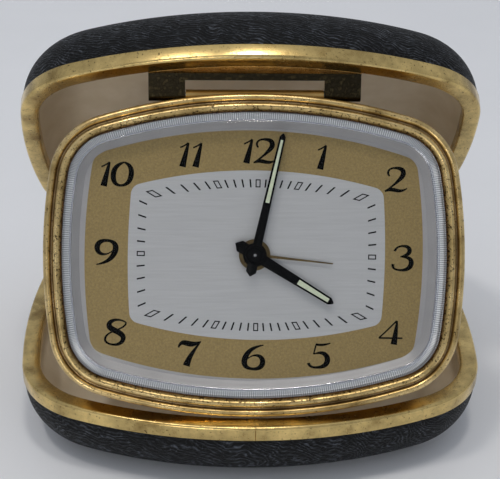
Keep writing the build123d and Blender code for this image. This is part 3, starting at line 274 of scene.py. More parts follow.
def lay_ways(piece, ways, round_length, across_length):
    """Writes the ways along and across into the UV map, closing the seams of both."""
    layer = piece.data.uv_layers.new(name="ways") if not piece.data.uv_layers else piece.data.uv_layers[0]
    layer.name = "ways"
    for face in piece.data.polygons:
        places = [ways.get(key_of(piece.data.vertices[i]), (0.0, 0.0)) for i in face.vertices]
        far_u = max(place[0] for place in places)
        far_v = max(place[1] for place in places)
        for corner, (u, v) in zip(face.loop_indices, places):
            u += round_length if far_u - u > round_length/2 else 0.0
            v += across_length if far_v - v > across_length/2 and len(face.vertices) < 5 else 0.0
            layer.data[corner].uv = (u, v)


def plate(name, points, low, high, bevel=0.0):
    """Flat plate with an outline of points between two levels, its upper edge bevelled."""
    clear_selection()
    bpy.ops.mesh.primitive_circle_add(vertices=len(points), radius=1.0)
    piece = begin(name)
    for vertex in piece.data.vertices:
        vertex.co = (points[vertex.index][0], points[vertex.index][1], low)
    bpy.ops.object.mode_set(mode="EDIT")
    bpy.ops.mesh.select_all(action="SELECT")
    bpy.ops.mesh.edge_face_add()
    bpy.ops.mesh.extrude_region_move(TRANSFORM_OT_translate={"value": (0, 0, high - low)})
    if bevel:
        bpy.ops.mesh.bevel(offset=bevel, segments=2, affect="EDGES")
    bpy.ops.mesh.select_all(action="SELECT")
    bpy.ops.mesh.normals_make_consistent(inside=False)
    bpy.ops.object.mode_set(mode="OBJECT")
    return piece


def duplicate(piece, name):
    """Copy of a piece with its own mesh."""
    copy = piece.copy()
    copy.data = piece.data.copy()
    copy.name = name
    bpy.context.scene.collection.objects.link(copy)
    return copy


def joined(name, pieces):
    """Several pieces made one mesh."""
    clear_selection()
    for piece in pieces:
        piece.select_set(True)
    bpy.context.view_layer.objects.active = pieces[0]
    bpy.ops.object.join()
    return begin(name)


def settle(piece, place, body, skin, replaces=(), smooth=30.0):
    """Puts a finished mesh in its place, smooths it, dresses it and ties it to its body."""
    clear_selection()
    piece.data.transform(place)
    piece.select_set(True)
    bpy.context.view_layer.objects.active = piece
    bpy.ops.object.shade_smooth_by_angle(angle=math.radians(smooth))
    piece.data.materials.clear()
    piece.data.materials.append(finishes[skin])
    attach(piece, body)
    if replaces:
        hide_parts(*replaces)
    clear_selection()
    return piece


# Finishes

finishes = {}

# Distance between diagonal bands of the Wave texture at a scale of 1
WAVE_LENGTH = 0.628

# Way round the bezel's section in millimetres
BEZEL_ROUND = 13.9


def tone_of(value):
    """Linear colour of an sRGB hex code, of a number for a plain grey, or of a linear colour."""
    if isinstance(value, str):
        return linear(value)
    return (value,)*3 if isinstance(value, float) else tuple(value)


def link(tree, node, sources):
    """Links sockets, or the first sockets of other nodes, into a node."""
    for name, source in sources.items():
        socket = source.outputs[0] if isinstance(source, bpy.types.Node) else source
        tree.links.new(socket, node.inputs[name])


def add(tree, kind, settings=None, sources=None):
    """Adds a node, sets its properties and sockets by name or number, and links sources into it."""
    node = tree.nodes.new(kind)
    for name, value in (settings or {}).items():
        if name == "stops":
            stops = node.color_ramp.elements
            for number, (position, tone) in enumerate(value):
                stop = stops[number] if number < len(stops) else stops.new(position)
                stop.position = position
                stop.color = (*tone_of(tone), 1.0)
        elif isinstance(name, int) or name in node.inputs:
            node.inputs[name].default_value = value
        else:
            setattr(node, name, value)
    link(tree, node, sources or {})
    return node


def per(size_mm):
    """Texture scale that gives features of a size in millimetres on coordinates in metres."""
    return 1.0/(size_mm*MM)


def finish(name, settings):
    """New material with its shader's plain values set."""
    material = bpy.data.materials.new(name)
    material.use_nodes = True
    shader = material.node_tree.nodes["Principled BSDF"]
    for socket, value in settings.items():
        shader.inputs[socket].default_value = value
    return material, material.node_tree, shader


def leather_cloth():
    """Embossed black leather cloth, lacquered: long creases about a millimetre apart, crossed by short folds,
    paler on their tops and darker in their hollows, partly rubbed wear and partly painted highlight and painted
    shade, over a blue-black ground with a soft broken gloss."""
    look = bpy.context.scene.travel_clock
    spacing = look.grain_size/MM
    material, tree, shader = finish("leather_cloth_embossed", {"Specular IOR Level": 0.18, "IOR": 1.5})
    place = add(tree, "ShaderNodeTexCoord").outputs["Object"]
    drift = add(tree, "ShaderNodeTexNoise", {"Scale": per(8.0), "Detail": 2.0}, {"Vector": place})
    bent = add(tree, "ShaderNodeVectorMath", {"operation": "MULTIPLY_ADD", 1: (0.006, 0.006, 0.006)},
               {0: drift.outputs["Color"], 2: place})
    long_way = add(tree, "ShaderNodeMapping", {"Scale": (0.42, 1.0, 1.0)}, {"Vector": bent})
    creases = add(tree, "ShaderNodeTexWave",
                  {"bands_direction": "DIAGONAL", "Scale": WAVE_LENGTH*per(spacing), "Distortion": 6.5,
                   "Detail": 4.0, "Detail Scale": 0.6, "Detail Roughness": 0.65}, {"Vector": long_way})
    crease_tops = add(tree, "ShaderNodeValToRGB",
                      {"stops": ((0.35, 0.0), (0.65, 0.3), (0.9, 0.7), (1.0, 0.75))},
                      {"Fac": creases.outputs["Fac"]})
    folds = add(tree, "ShaderNodeTexNoise",
                {"Scale": per(0.9*spacing), "Detail": 1.0, "Roughness": 0.4, "Distortion": 0.6},
                {"Vector": long_way})
    fold_tops = add(tree, "ShaderNodeValToRGB",
                    {"stops": ((0.39, 0.0), (0.46, 0.5), (0.5, 0.9), (0.54, 0.5), (0.61, 0.0))},
                    {"Fac": folds})
    raised = add(tree, "ShaderNodeMath", {"operation": "MULTIPLY_ADD", 1: 0.75},
                 {0: fold_tops, 2: crease_tops})
    bump = add(tree, "ShaderNodeBump", {"Strength": 1.0, "Distance": look.grain_depth}, {"Height": raised})
    rubbed = add(tree, "ShaderNodeTexNoise", {"Scale": per(2.5), "Detail": 3.0}, {"Vector": place})
    # Rubbed patches, which also set how strong the painted highlight on the crease tops is
    wear_and_highlight = add(tree, "ShaderNodeMapRange",
               {"From Min": 0.35, "From Max": 0.65, "To Min": 0.42, "To Max": 0.8}, {"Value": rubbed})
    share = add(tree, "ShaderNodeMath", {"operation": "MULTIPLY"}, {0: raised, 1: wear_and_highlight})
    # Tone: painted highlight on the crease tops and painted shade in the hollows, partly real rubbed wear
    tone = add(tree, "ShaderNodeValToRGB",
               {"stops": ((0.0, "#060708"), (0.3, "#0F1113"), (0.62, "#2B2E33"), (1.0, "#50555D"))},
               {"Fac": share})
    gloss = add(tree, "ShaderNodeMapRange", {"To Min": 0.6, "To Max": 0.38}, {"Value": share})
    link(tree, shader, {"Base Color": tone, "Roughness": gloss, "Normal": bump})
    return material


def gilt_brass(name, bright, dull, brown, patch_mm, worn=0.63, rough=(0.14, 0.34), painted_profile_shade=None):
    """Gilt brass, rolled and polished, then handled for years: a warm mirror with cloudy thinner patches,
    brown specks where the gilding has gone, and hair scratches along the strip. Painted shade along the bezel's
    section is given as tones at shares of the whole way round it."""
    material, tree, shader = finish(name, {"Metallic": 1.0})
    place = add(tree, "ShaderNodeTexCoord").outputs["Object"]
    ways = add(tree, "ShaderNodeUVMap", {"uv_map": "ways"})
    cloud = add(tree, "ShaderNodeTexNoise", {"Scale": per(patch_mm), "Detail": 5.0, "Roughness": 0.6},
                {"Vector": place})
    tone = add(tree, "ShaderNodeValToRGB", {"stops": ((0.36, bright), (0.54, dull), (0.74, brown))},
               {"Fac": cloud})
    speck = add(tree, "ShaderNodeTexNoise", {"Scale": per(0.5), "Detail": 3.0, "Roughness": 0.65},
                {"Vector": place})
    crowded = speck
    if painted_profile_shade:
        split = add(tree, "ShaderNodeSeparateXYZ", {}, {"Vector": ways})
        share = add(tree, "ShaderNodeMath", {"operation": "DIVIDE", 1: BEZEL_ROUND}, {0: split.outputs["Y"]})
        inner = add(tree, "ShaderNodeValToRGB",
                    {"stops": ((0.367, 0.0), (0.53, 0.075), (0.7, 0.075), (0.74, 0.0))},
                    {"Fac": share})
        crowded = add(tree, "ShaderNodeMath", {"operation": "ADD"}, {0: speck, 1: inner})
    spots = add(tree, "ShaderNodeValToRGB", {"stops": ((worn, 1.0), (worn + 0.035, "#3E2C16"))},
                {"Fac": crowded})
    colour = add(tree, "ShaderNodeMix", {"data_type": "RGBA", "blend_type": "MULTIPLY", 0: 0.9},
                 {6: tone, 7: spots})
    if painted_profile_shade:
        # Painted shade: darker at the foot of the outer wall, on the slopes into the groove, in the groove and on
        # the inner wall
        profile_shaded = add(tree, "ShaderNodeValToRGB", {"stops": painted_profile_shade}, {"Fac": share})
        colour = add(tree, "ShaderNodeMix", {"data_type": "RGBA", "blend_type": "MULTIPLY", 0: 1.0},
                     {6: colour.outputs[2], 7: profile_shaded})
    stretch = add(tree, "ShaderNodeMapping", {"Scale": (0.08, 7.0, 1.0)}, {"Vector": ways})
    hair = add(tree, "ShaderNodeTexNoise", {"Scale": 1.0, "Detail": 3.0}, {"Vector": stretch})
    relief = add(tree, "ShaderNodeMath", {"operation": "MULTIPLY_ADD", 1: 0.4}, {0: hair, 2: speck})
    bump = add(tree, "ShaderNodeBump", {"Strength": 0.35, "Distance": 0.03*MM}, {"Height": relief})
    gloss = add(tree, "ShaderNodeMapRange",
                {"From Min": 0.3, "From Max": 0.72, "To Min": rough[0], "To Max": rough[1]}, {"Value": cloud})
    link(tree, shader, {"Base Color": colour.outputs[2], "Roughness": gloss, "Normal": bump})
    return material


def mottled(name, settings, tones, patch_mm, rough, grain_mm=0.3, depth_mm=0.01, across=1.0):
    """Any plain finish with its own cloudiness, grain and change of gloss, from two tones or three. Below 1,
    across draws the clouds and the grain out sideways."""
    positions = (0.3, 0.7) if len(tones) == 2 else (0.35, 0.52, 0.7)
    material, tree, shader = finish(name, settings)
    place = add(tree, "ShaderNodeTexCoord").outputs["Object"]
    drawn = add(tree, "ShaderNodeMapping", {"Scale": (across, 1.0, 1.0)}, {"Vector": place})
    cloud = add(tree, "ShaderNodeTexNoise", {"Scale": per(patch_mm), "Detail": 4.0}, {"Vector": drawn})
    tone = add(tree, "ShaderNodeValToRGB", {"stops": tuple(zip(positions, tones))}, {"Fac": cloud})
    grain = add(tree, "ShaderNodeTexNoise", {"Scale": per(grain_mm), "Detail": 2.0}, {"Vector": drawn})
    gloss = add(tree, "ShaderNodeMapRange",
                {"From Min": 0.3, "From Max": 0.7, "To Min": rough[0], "To Max": rough[1]}, {"Value": grain})
    bump = add(tree, "ShaderNodeBump", {"Strength": 0.5, "Distance": depth_mm*MM}, {"Height": grain})
    link(tree, shader, {"Base Color": tone, "Roughness": gloss, "Normal": bump})
    return material


def fluted_silver():
    """Silvered brass with pressed flutes: bright crests with painted highlight, and grey grooves of painted shade.
    The real flutes are about 0.3 mm apart, too fine to show, so they are drawn half as coarse again."""
    material, tree, shader = finish("silvered_brass_fluted", {"Metallic": 0.6})
    ways = add(tree, "ShaderNodeUVMap", {"uv_map": "ways"})
    split = add(tree, "ShaderNodeSeparateXYZ", {}, {"Vector": ways})
    flute = add(tree, "ShaderNodeMath", {"operation": "PINGPONG", 1: 0.5}, {0: split.outputs["X"]})
    # Painted highlight on the crests and painted shade in the grooves between them
    tone = add(tree, "ShaderNodeValToRGB", {"stops": ((0.08, "#F4F4F2"), (0.42, "#ABABAC"))},
               {"Fac": flute})
    gloss = add(tree, "ShaderNodeMapRange", {"From Max": 0.5, "To Min": 0.34, "To Max": 0.5},
                {"Value": flute})
    link(tree, shader, {"Base Color": tone, "Roughness": gloss})
    return material


def clear_crystal():
    """Moulded acrylic crystal: colourless, with a smooth gloss that strengthens at a low angle."""
    material = bpy.data.materials.new("acrylic_crystal_moulded")
    material.use_nodes = True
    tree = material.node_tree
    tree.nodes.remove(tree.nodes["Principled BSDF"])
    clear = add(tree, "ShaderNodeBsdfTransparent", {"Color": (*linear("#FAFBFC"), 1.0)})
    gloss = add(tree, "ShaderNodeBsdfGlossy", {"Roughness": 0.03, "Color": (1.0, 1.0, 1.0, 1.0)})
    facing = add(tree, "ShaderNodeLayerWeight", {"Blend": 0.5}).outputs["Facing"]
    low_angle = add(tree, "ShaderNodeMath", {"operation": "POWER", 1: 5.0}, {0: facing})
    edge = add(tree, "ShaderNodeMath", {"operation": "MULTIPLY_ADD", 1: 0.8, 2: 0.003}, {0: low_angle})
    both = add(tree, "ShaderNodeMixShader", {}, {0: edge, 1: clear, 2: gloss})
    link(tree, tree.nodes["Material Output"], {"Surface": both})
    return material


def make_finishes():
    """All finishes of the clock, each under the name of the slot or the print that it serves."""
    look = bpy.context.scene.travel_clock
    metal = {"Metallic": 1.0}
    gilt, field, lume = tuple(look.gilt), tuple(look.gold_field), tuple(look.lume)
    # Covers: black cloth whose crease tops are paler, partly rubbed wear and partly painted highlight
    finishes["leather"] = leather_cloth()
    # Rims: bright yellow strip, duller where the gilding is thin
    finishes["rim_brass"] = gilt_brass(
        "gilt_brass_rolled", gilt, tuple(c*0.66 for c in gilt), "#7C6236",
        patch_mm=7.0)
    # Bezel: paler and more worn, with brown painted shade at the foot of the outer wall, in the groove and on the
    # inner wall against the crystal
    painted_profile_shade = ((0.0, "#B8A888"), (0.117, 1.0), (0.27, "#E8DCC4"), (0.308, "#5A3A20"), (0.345, 1.0),
            (0.484, "#F0E6D0"), (0.543, "#8A6A44"), (0.587, "#5A3A20"), (0.7, "#5A3A20"), (0.74, "#D8C8A8"))
    finishes["bezel_brass"] = gilt_brass(
        "gilt_brass_bezel_turned", "#F0DAA6", "#CDB887", "#8F7A50",
        patch_mm=6.0, worn=0.61, rough=(0.22, 0.4), painted_profile_shade=painted_profile_shade)
    # Hinge leaves: pressed brass without gilding, browner in patches
    finishes["plain_brass"] = mottled(
        "brass_hinge_pressed", metal, ("#D9B679", "#9C7A45"),
        patch_mm=3.0, rough=(0.22, 0.42))
    # Hinge plate: bronzed steel, nearly black, rubbed brown in spots
    finishes["dark_steel"] = mottled(
        "bronzed_steel_worn", metal, ("#302B20", "#231F16", "#463E2B"),
        patch_mm=0.8, rough=(0.26, 0.42), grain_mm=0.2, depth_mm=0.012)
    # Pins and arbors: drawn steel, a cool grey with soft clouds
    finishes["steel"] = mottled(
        "steel_bright_drawn", metal, ("#B9B8B6", "#8F8E8C"),
        patch_mm=4.0, rough=(0.22, 0.36))
    # Linings: rayon flock, a taupe made far paler as painted light for the light bounced under the lid, with a
    # pale bloom at a low angle
    flock = {"Sheen Weight": 0.35, "Sheen Roughness": 0.5, "Specular IOR Level": 0.2}
    # Both tones far paler than the taupe flock: painted light
    finishes["lining"] = mottled(
        "rayon_flock_taupe_painted_light", flock, ("#ECE0CA", "#E0D2B8"),
        patch_mm=5.0, rough=(0.85, 0.95), grain_mm=0.22, depth_mm=0.06)
    # Bead of the silver ring: silvered and polished, a pale mirror
    finishes["silver"] = mottled(
        "silvered_brass_ribbed", metal, ("#E6E6E8", "#D2D2D6"),
        patch_mm=6.0, rough=(0.14, 0.2), grain_mm=2.0, depth_mm=0.001)
    # Band of the silver ring: fine lines that fan round the corners, painted highlight on the crests and painted
    # shade in the grooves
    finishes["silver_fluted"] = fluted_silver()
    # Slope of the silver ring: silvered under matt lacquer without a mirror, its grey a darker copy of the dial's
    # silver as painted shade in the recess
    # Grey darker than the dial's silver: painted shade
    finishes["slope_silver"] = mottled(
        "silvered_slope_shaded_lacquered", {"Metallic": 0.4}, ("#B5B2B0", "#ABA8A6"),
        patch_mm=8.0, rough=(0.4, 0.5), grain_mm=0.2, depth_mm=0.004)
    # Panel: silvered, brushed sideways and lacquered, a pale grey with a streaky gloss. The real lines are
    # too fine to show, so these are coarser
    finishes["dial_silver"] = mottled(
        "silvered_dial_lacquered", {"Metallic": 0.25}, ("#C6C5C3", "#BEBDBB"),
        patch_mm=0.4, rough=(0.42, 0.5), grain_mm=0.2, depth_mm=0.004, across=0.04)
    # Field of the dial: satin gilding with a fine sandy grain
    finishes["dial_gold"] = mottled(
        "gilt_dial_satin", {"Metallic": 0.45}, (tuple(c*1.14 for c in field), tuple(c*0.86 for c in field)),
        patch_mm=0.4, rough=(0.38, 0.55), grain_mm=0.25, depth_mm=0.01)
    # Back case: spun brass under gilt lacquer, smooth and half glossy
    finishes["case_gilt"] = mottled(
        "gilt_lacquer_spun", metal, ("#D6B573", "#B8955A"),
        patch_mm=8.0, rough=(0.28, 0.42))
    # Plates and wheels: grained clock brass, a plain clean yellow
    finishes["movement_brass"] = mottled(
        "clock_brass_grained", metal, ("#DDBE7C", "#C3A262"),
        patch_mm=5.0, rough=(0.26, 0.4))
    # Alarm hand: toned brass, brown and rather dull
    finishes["alarm_brass"] = mottled(
        "brass_alarm_hand_toned", metal, ("#85724F", "#5E4F36"),
        patch_mm=2.0, rough=(0.26, 0.4))
    # Hands: black lacquer, deep, with a small soft shine
    finishes["black"] = mottled(
        "black_lacquer_hands", {"Specular IOR Level": 0.06}, ("#040405", "#09090A"),
        patch_mm=2.0, rough=(0.24, 0.36), grain_mm=0.2, depth_mm=0.004)
    # Numerals and marks: printing ink, black without shine
    finishes["print"] = mottled(
        "black_printing_ink", {"Specular IOR Level": 0.04}, ("#060606", "#0D0D0C"),
        patch_mm=0.8, rough=(0.5, 0.7), grain_mm=0.15, depth_mm=0.004)
    # Strips in the hands: luminous paint, chalky pale green
    finishes["lume"] = mottled(
        "luminous_paint_radium_green", {"Specular IOR Level": 0.3}, (lume, tuple(c*0.85 for c in lume)),
        patch_mm=0.7, rough=(0.6, 0.8), grain_mm=0.15, depth_mm=0.02)
    # Bearings: polished synthetic ruby, deep red and half clear
    finishes["jewel"] = mottled(
        "synthetic_ruby_polished", {"IOR": 1.77, "Transmission Weight": 0.4}, ("#B3122E", "#8C0E24"),
        patch_mm=1.0, rough=(0.05, 0.1), grain_mm=0.3, depth_mm=0.001)
    # Crystal: clear, with the room mirrored in it at a low angle
    finishes["crystal"] = clear_crystal()


# Sizes and colours

class ClockLook(bpy.types.PropertyGroup):
    """Sizes and colours of the clock that a user would change."""
    grain_size: FloatProperty(
        name="Leather grain", description="Distance between creases of the leather cloth",
        default=0.95*MM, min=0.3*MM, max=5*MM, precision=5, subtype="DISTANCE", unit="LENGTH")
    grain_depth: FloatProperty(
        name="Grain depth", description="Depth of the creases",
        default=0.2*MM, min=0.0, max=1*MM, precision=5, subtype="DISTANCE", unit="LENGTH")
    flute_pitch: FloatProperty(
        name="Flutes", description="Distance between the flutes of the silver ring",
        default=0.47*MM, min=0.2*MM, max=2*MM, precision=5, subtype="DISTANCE", unit="LENGTH")
    flute_depth: FloatProperty(
        name="Flute depth", description="Depth of a flute of the silver ring",
        default=0.07*MM, min=0.0, max=0.3*MM, precision=5, subtype="DISTANCE", unit="LENGTH")
    numeral_height: FloatProperty(
        name="Numerals", description="Height of the hour numerals",
        default=5.04*MM, min=2*MM, max=8*MM, precision=5, subtype="DISTANCE", unit="LENGTH")
    mark_width: FloatProperty(
        name="Minute marks", description="Width of a minute mark",
        default=0.32*MM, min=0.1*MM, max=1*MM, precision=5, subtype="DISTANCE", unit="LENGTH")
    hand_bevel: FloatProperty(
        name="Hand edge", description="Bevel along the upper edges of the hands",
        default=0.09*MM, min=0.0, max=0.2*MM, precision=5, subtype="DISTANCE", unit="LENGTH")
    gilt: FloatVectorProperty(
        name="Gilt", description="Colour of the gilding",
        default=linear("#EACD88"), min=0.0, max=1.0, subtype="COLOR")
    gold_field: FloatVectorProperty(
        name="Gold field", description="Colour of the gilt field of the dial",
        default=linear("#9F8857"), min=0.0, max=1.0, subtype="COLOR")
    lume: FloatVectorProperty(
        name="Luminous paint", description="Colour of the strips in the hands",
        default=linear("#DCE3C4"), min=0.0, max=1.0, subtype="COLOR")
    floor: FloatVectorProperty(
        name="Table", description="Colour of the table top",
        default=linear("#F3F5F8"), min=0.0, max=1.0, subtype="COLOR")


# Shells

def rim_profile():
    """Section of a rim strip as (inset, level below the rim): band, rounded edge, lip, turned-down flange."""
    return ([(0.5, -3.2), (0.12, -3.2), (0.05, -3.16), (0.02, -3.05), (0.02, -0.72)]
            + arc((0.7, -0.7), 0.68, 180, 90, 7)
            + [(1.6, -0.03), (2.6, -0.08), (3.6, -0.15)]
            + arc((3.6, -0.55), 0.4, 90, 0, 5)[1:]
            + [(4.0, -2.4), (3.5, -2.4), (3.5, -0.65), (0.7, -0.5), (0.5, -0.7)])


def leather_profile():
    """Section of a leather cover as (inset, level): inside wall, hem under the band, outside wall."""
    thick, inner, outer, hem = 0.9, 12.1, 13.0, 13.75
    inside, outside = 1.25, 0.37
    turns = [math.radians(angle) for angle in range(0, 91, 9)]
    up = [(inside + inner*(1 - math.sin(a)), thick + inner*(1 - math.cos(a))) for a in turns]
    turns = [math.radians(angle) for angle in range(0, 91, 5)]
    down = [(outside + outer*(1 - math.cos(a)), outer*(1 - math.sin(a))) for a in turns]
    return up + [(inside, hem), (0.65, hem), (0.42, hem - 0.09)] + down


class CLOCK_OT_leather_covers(bpy.types.Operator):
    """Leather covers of the lower shell and of the lid"""
    bl_idname = "clock.leather_covers"
    bl_label = "Leather covers"

    def execute(self, context):
        first = loft("base_leather_cover", rings(CASE, 1.0, leather_profile()))
        second = duplicate(first, "lid_leather_cover")
        settle(first, base_place, "base", "leather", ["base_leather"])
        settle(second, lid_place, "lid", "leather", ["lid_leather"])
        return {"FINISHED"}


# Seam of a rim, a hairline notch where the strip's ends meet: half its width as a share of the way forward,
# its depth, and the Y in front of which a loop belongs to the outer face of the strip
SEAM_HALF = 0.0008
SEAM_DEPTH = 0.16
SEAM_FRONT = -43.2

# Land on the lid's rim for the hinge plate: half width, straight inner edge, inset of its outer edge,
# underside and top, and bevel
LAND_HALF = 22.1
LAND_EDGE = 37.256
LAND_INSET = 3.8
LAND_LEVELS = (RIM_LEVEL - 0.65, RIM_LEVEL - 0.15)
LAND_BEVEL = 0.08


class CLOCK_OT_gilt_rims(bpy.types.Operator):
    """Gilt rims of both shells, and the land of the lid's rim behind which the head's hinge plate is fixed"""
    bl_idname = "clock.gilt_rims"
    bl_label = "Gilt rims"

    def execute(self, context):
        marks = stations(CASE, 0.8)
        centre, radius, _ = marks[0]
        beside = [(centre, radius, Vector((side*SEAM_HALF, -1)).normalized()) for side in (1, -1)]
        marks = [marks[0], beside[0], *marks[1:], beside[1]]
        profile = rim_profile()
        loops = [outline(marks, inset, RIM_LEVEL + level) for inset, level in profile]
        for loop, (inset, level) in zip(loops, profile):
            if inset < 1.0 and level > -3.1 and loop[0].y < SEAM_FRONT:
                loop[0].y += SEAM_DEPTH
        first = loft("base_gilt_rim", loops, closed=True)
        second = duplicate(first, "lid_gilt_rim")
        edge = [(point.x, point.y) for point in outline(stations(CASE, 1.2), LAND_INSET, 0)
                if abs(point.x) < LAND_HALF and point.y > 0]
        side = edge[0][1] - 0.1
        points = [(LAND_HALF, LAND_EDGE), (LAND_HALF, side), *edge,
                  (-LAND_HALF, side), (-LAND_HALF, LAND_EDGE)]
        land = plate("lid_rim_land", points, *LAND_LEVELS, LAND_BEVEL)
        settle(first, base_place, "base", "rim_brass", ["base_rim"])
        settle(second, lid_place, "lid", "rim_brass", ["lid_rim"])
        settle(land, lid_place, "lid", "plain_brass")
        return {"FINISHED"}


# Head

# Section of the bezel as (inset, level): outer wall, first bead, groove, second bead, inner wall
BEZEL = ((0.0, -2.2), (0.0, -0.1), (0.03, 0.05), (0.12, 0.22), (0.3, 0.43), (0.55, 0.58), (0.87, 0.65),
         (1.12, 0.58), (1.3, 0.42), (1.42, 0.2), (1.47, 0.1), (1.6, 0.08), (1.8, 0.08), (1.87, 0.14),
         (1.95, 0.42), (2.1, 0.8), (2.35, 1.08), (2.7, 1.19), (3.05, 1.1), (3.35, 0.84), (3.6, 0.45),
         (3.76, 0.08), (3.84, -0.3), (3.85, -0.8), (3.85, -2.2))

# Section of the crystal's wall: inside, foot, outside, bevelled shoulder and start of the dome
CRYSTAL_WALL = ((5.6, 0.3), (5.35, 0.2), (5.25, 0.0), (5.25, -2.2), (3.95, -2.2), (3.95, 0.45), (4.0, 0.58),
                (4.12, 0.7), (5.3, 1.58), (5.5, 1.7), (5.8, 1.78))

# Height of the crystal's dome in its middle, and its fall by the square of the distance from there
CRYSTAL_CROWN = 2.6
CRYSTAL_FALL = 1/2400

# Sections of the silver ring: outer edge, fluted face and underside of the band, then bead and slope
BAND_EDGE = ((2.3, -2.7), (2.3, -2.25), (4.02, -2.25))
BAND_FLUTED = ((4.1, -2.27), (4.6, -2.42), (5.1, -2.58))
BAND_UNDERSIDE = ((5.12, -2.85), (4.2, -2.75))
RING_BEAD = ((5.1, -2.9), (5.12, -2.62), (5.18, -2.52), (5.28, -2.49), (5.38, -2.53), (5.44, -2.62),
             (5.46, -2.9))
RING_SLOPE = ((5.44, -2.84), (5.5, -2.8), (5.62, -2.86), (6.1, -3.28), (6.6, -3.68), (6.94, -3.9),
              (7.0, -3.96), (6.6, -3.96), (5.44, -3.3))


class CLOCK_OT_bezel(bpy.types.Operator):
    """Gilt bezel with two turned beads and a groove between them"""
    bl_idname = "clock.bezel"
    bl_label = "Bezel"

    def execute(self, context):
        piece = loft("bezel_gilt", rings(HEAD, 0.7, BEZEL), closed=True)
        settle(piece, head_place, "head", "bezel_brass", ["bezel"], smooth=50)
        return {"FINISHED"}


class CLOCK_OT_crystal(bpy.types.Operator):
    """Moulded crystal with a bevelled shoulder and a low dome"""
    bl_idname = "clock.crystal"
    bl_label = "Crystal"

    def execute(self, context):
        marks = stations(HEAD, 1.0)

        def shrunk(inset, share, crown, fall):
            """Loop drawn in towards the middle, on a dome that falls with the square of the distance."""
            return [Vector((p.x*share, p.y*share, crown - (p.x*p.x + p.y*p.y)*share*share*fall))
                    for p in outline(marks, inset, 0)]

        inner, low = CRYSTAL_WALL[0]
        outer = CRYSTAL_WALL[-1][0]
        loops = [shrunk(inner, share, low, 0) for share in (0.1, 0.5, 0.85)]
        loops += [outline(marks, inset, level) for inset, level in CRYSTAL_WALL]
        loops += [shrunk(outer, share, CRYSTAL_CROWN, CRYSTAL_FALL) for share in (0.97, 0.85, 0.65, 0.4, 0.1)]
        piece = loft("crystal_moulded", loops)
        settle(piece, head_place, "head", "crystal", ["crystal"])
        return {"FINISHED"}


def number_flutes(piece, loop):
    """Makes the way along a fluted piece count flutes instead of millimetres."""
    along = [0.0]
    for a, b in zip(loop, loop[1:] + loop[:1]):
        along.append(along[-1] + (b - a).length)
    for corner in piece.data.uv_layers[0].data:
        corner.uv.x = bisect.bisect_left(along, corner.uv.x - 0.01)/2


class CLOCK_OT_silver_ring(bpy.types.Operator):
    """Silver ring between crystal and dial: a fluted band, a bright bead and a smooth slope to the dial"""
    bl_idname = "clock.silver_ring"
    bl_label = "Silver ring"

    def execute(self, context):
        look = context.scene.travel_clock
        loops = rings(HEAD, look.flute_pitch/MM/2, BAND_EDGE + BAND_FLUTED + BAND_UNDERSIDE)
        for loop in loops[len(BAND_EDGE):-len(BAND_UNDERSIDE)]:
            for point in loop[1::2]:
                point.z -= look.flute_depth/MM
        band = loft("silver_ring_fluted", loops, closed=True)
        number_flutes(band, loops[0])
        settle(band, head_place, "head", "silver_fluted", ["rehaut_ring"], smooth=10)
        bead = loft("silver_ring_bead", rings(HEAD, 0.8, RING_BEAD), closed=True)
        settle(bead, head_place, "head", "silver", smooth=50)
        slope = loft("silver_ring_slope", rings(HEAD, 0.8, RING_SLOPE), closed=True)
        settle(slope, head_place, "head", "slope_silver", smooth=50)
        return {"FINISHED"}


# Dial

# Underside and top of the gilt field and of the panel that lies on it, and radius of their hole
FIELD_LEVELS = (DIAL_LEVEL - 0.01, DIAL_LEVEL + 0.025)
PANEL_LEVELS = (DIAL_LEVEL + 0.015, DIAL_LEVEL + 0.05)
DIAL_HOLE = 2.0

# Minute marks: insets of their outer and inner ends from the panel's edge, length, thickness and foot of the
# print, width of a five-minute frame and of its line
MARK_OUTER = 1.85
MARK_INNER = 3.55
MARK_LENGTH = 1.7
MARK_THICK = 0.02
MARK_LEVEL = DIAL_LEVEL + 0.045
FRAME_WIDTH = 1.06
FRAME_LINE = 0.23


def printed_field(name, shape, low, high):
    """Thin printed field with a hole for the hand pipes."""
    outer = [(p.x, p.y) for p in outline(stations(shape, 1.0), 0, low)]
    spans = [Vector(point).length for point in outer]
    hole = [(DIAL_HOLE*x/span, DIAL_HOLE*y/span) for (x, y), span in zip(outer, spans)]
    walls = ((hole, low), (outer, low), (outer, high), (hole, high))
    return loft(name, [[Vector((x, y, level)) for x, y in wall] for wall, level in walls], closed=True)


class CLOCK_OT_dial_fields(bpy.types.Operator):
    """Gilt field and silver panel of the dial"""
    bl_idname = "clock.dial_fields"
    bl_label = "Dial fields"

    def execute(self, context):
        field = printed_field("dial_gilt_field", GOLD_FIELD, *FIELD_LEVELS)
        settle(field, dial_place, "head", "dial_gold")
        panel = printed_field("dial_silver_panel", PANEL, *PANEL_LEVELS)
        settle(panel, panel_place, "head", "dial_silver")
        return {"FINISHED"}


def crossing(loop, origin, direction):
    """Where a ray from a point crosses a loop."""
    for a, b in zip(loop, loop[1:] + loop[:1]):
        edge = Vector((b.x - a.x, b.y - a.y))
        away = Vector((a.x - origin.x, a.y - origin.y))
        turn = direction.x*edge.y - direction.y*edge.x
        if abs(turn) < 1e-12:
            continue
        reach = (away.x*edge.y - away.y*edge.x)/turn
        share = (away.x*direction.y - away.y*direction.x)/turn
        if reach > 0 and 0 <= share <= 1:
            return origin + direction*reach
    raise RuntimeError("the ray misses the outline")


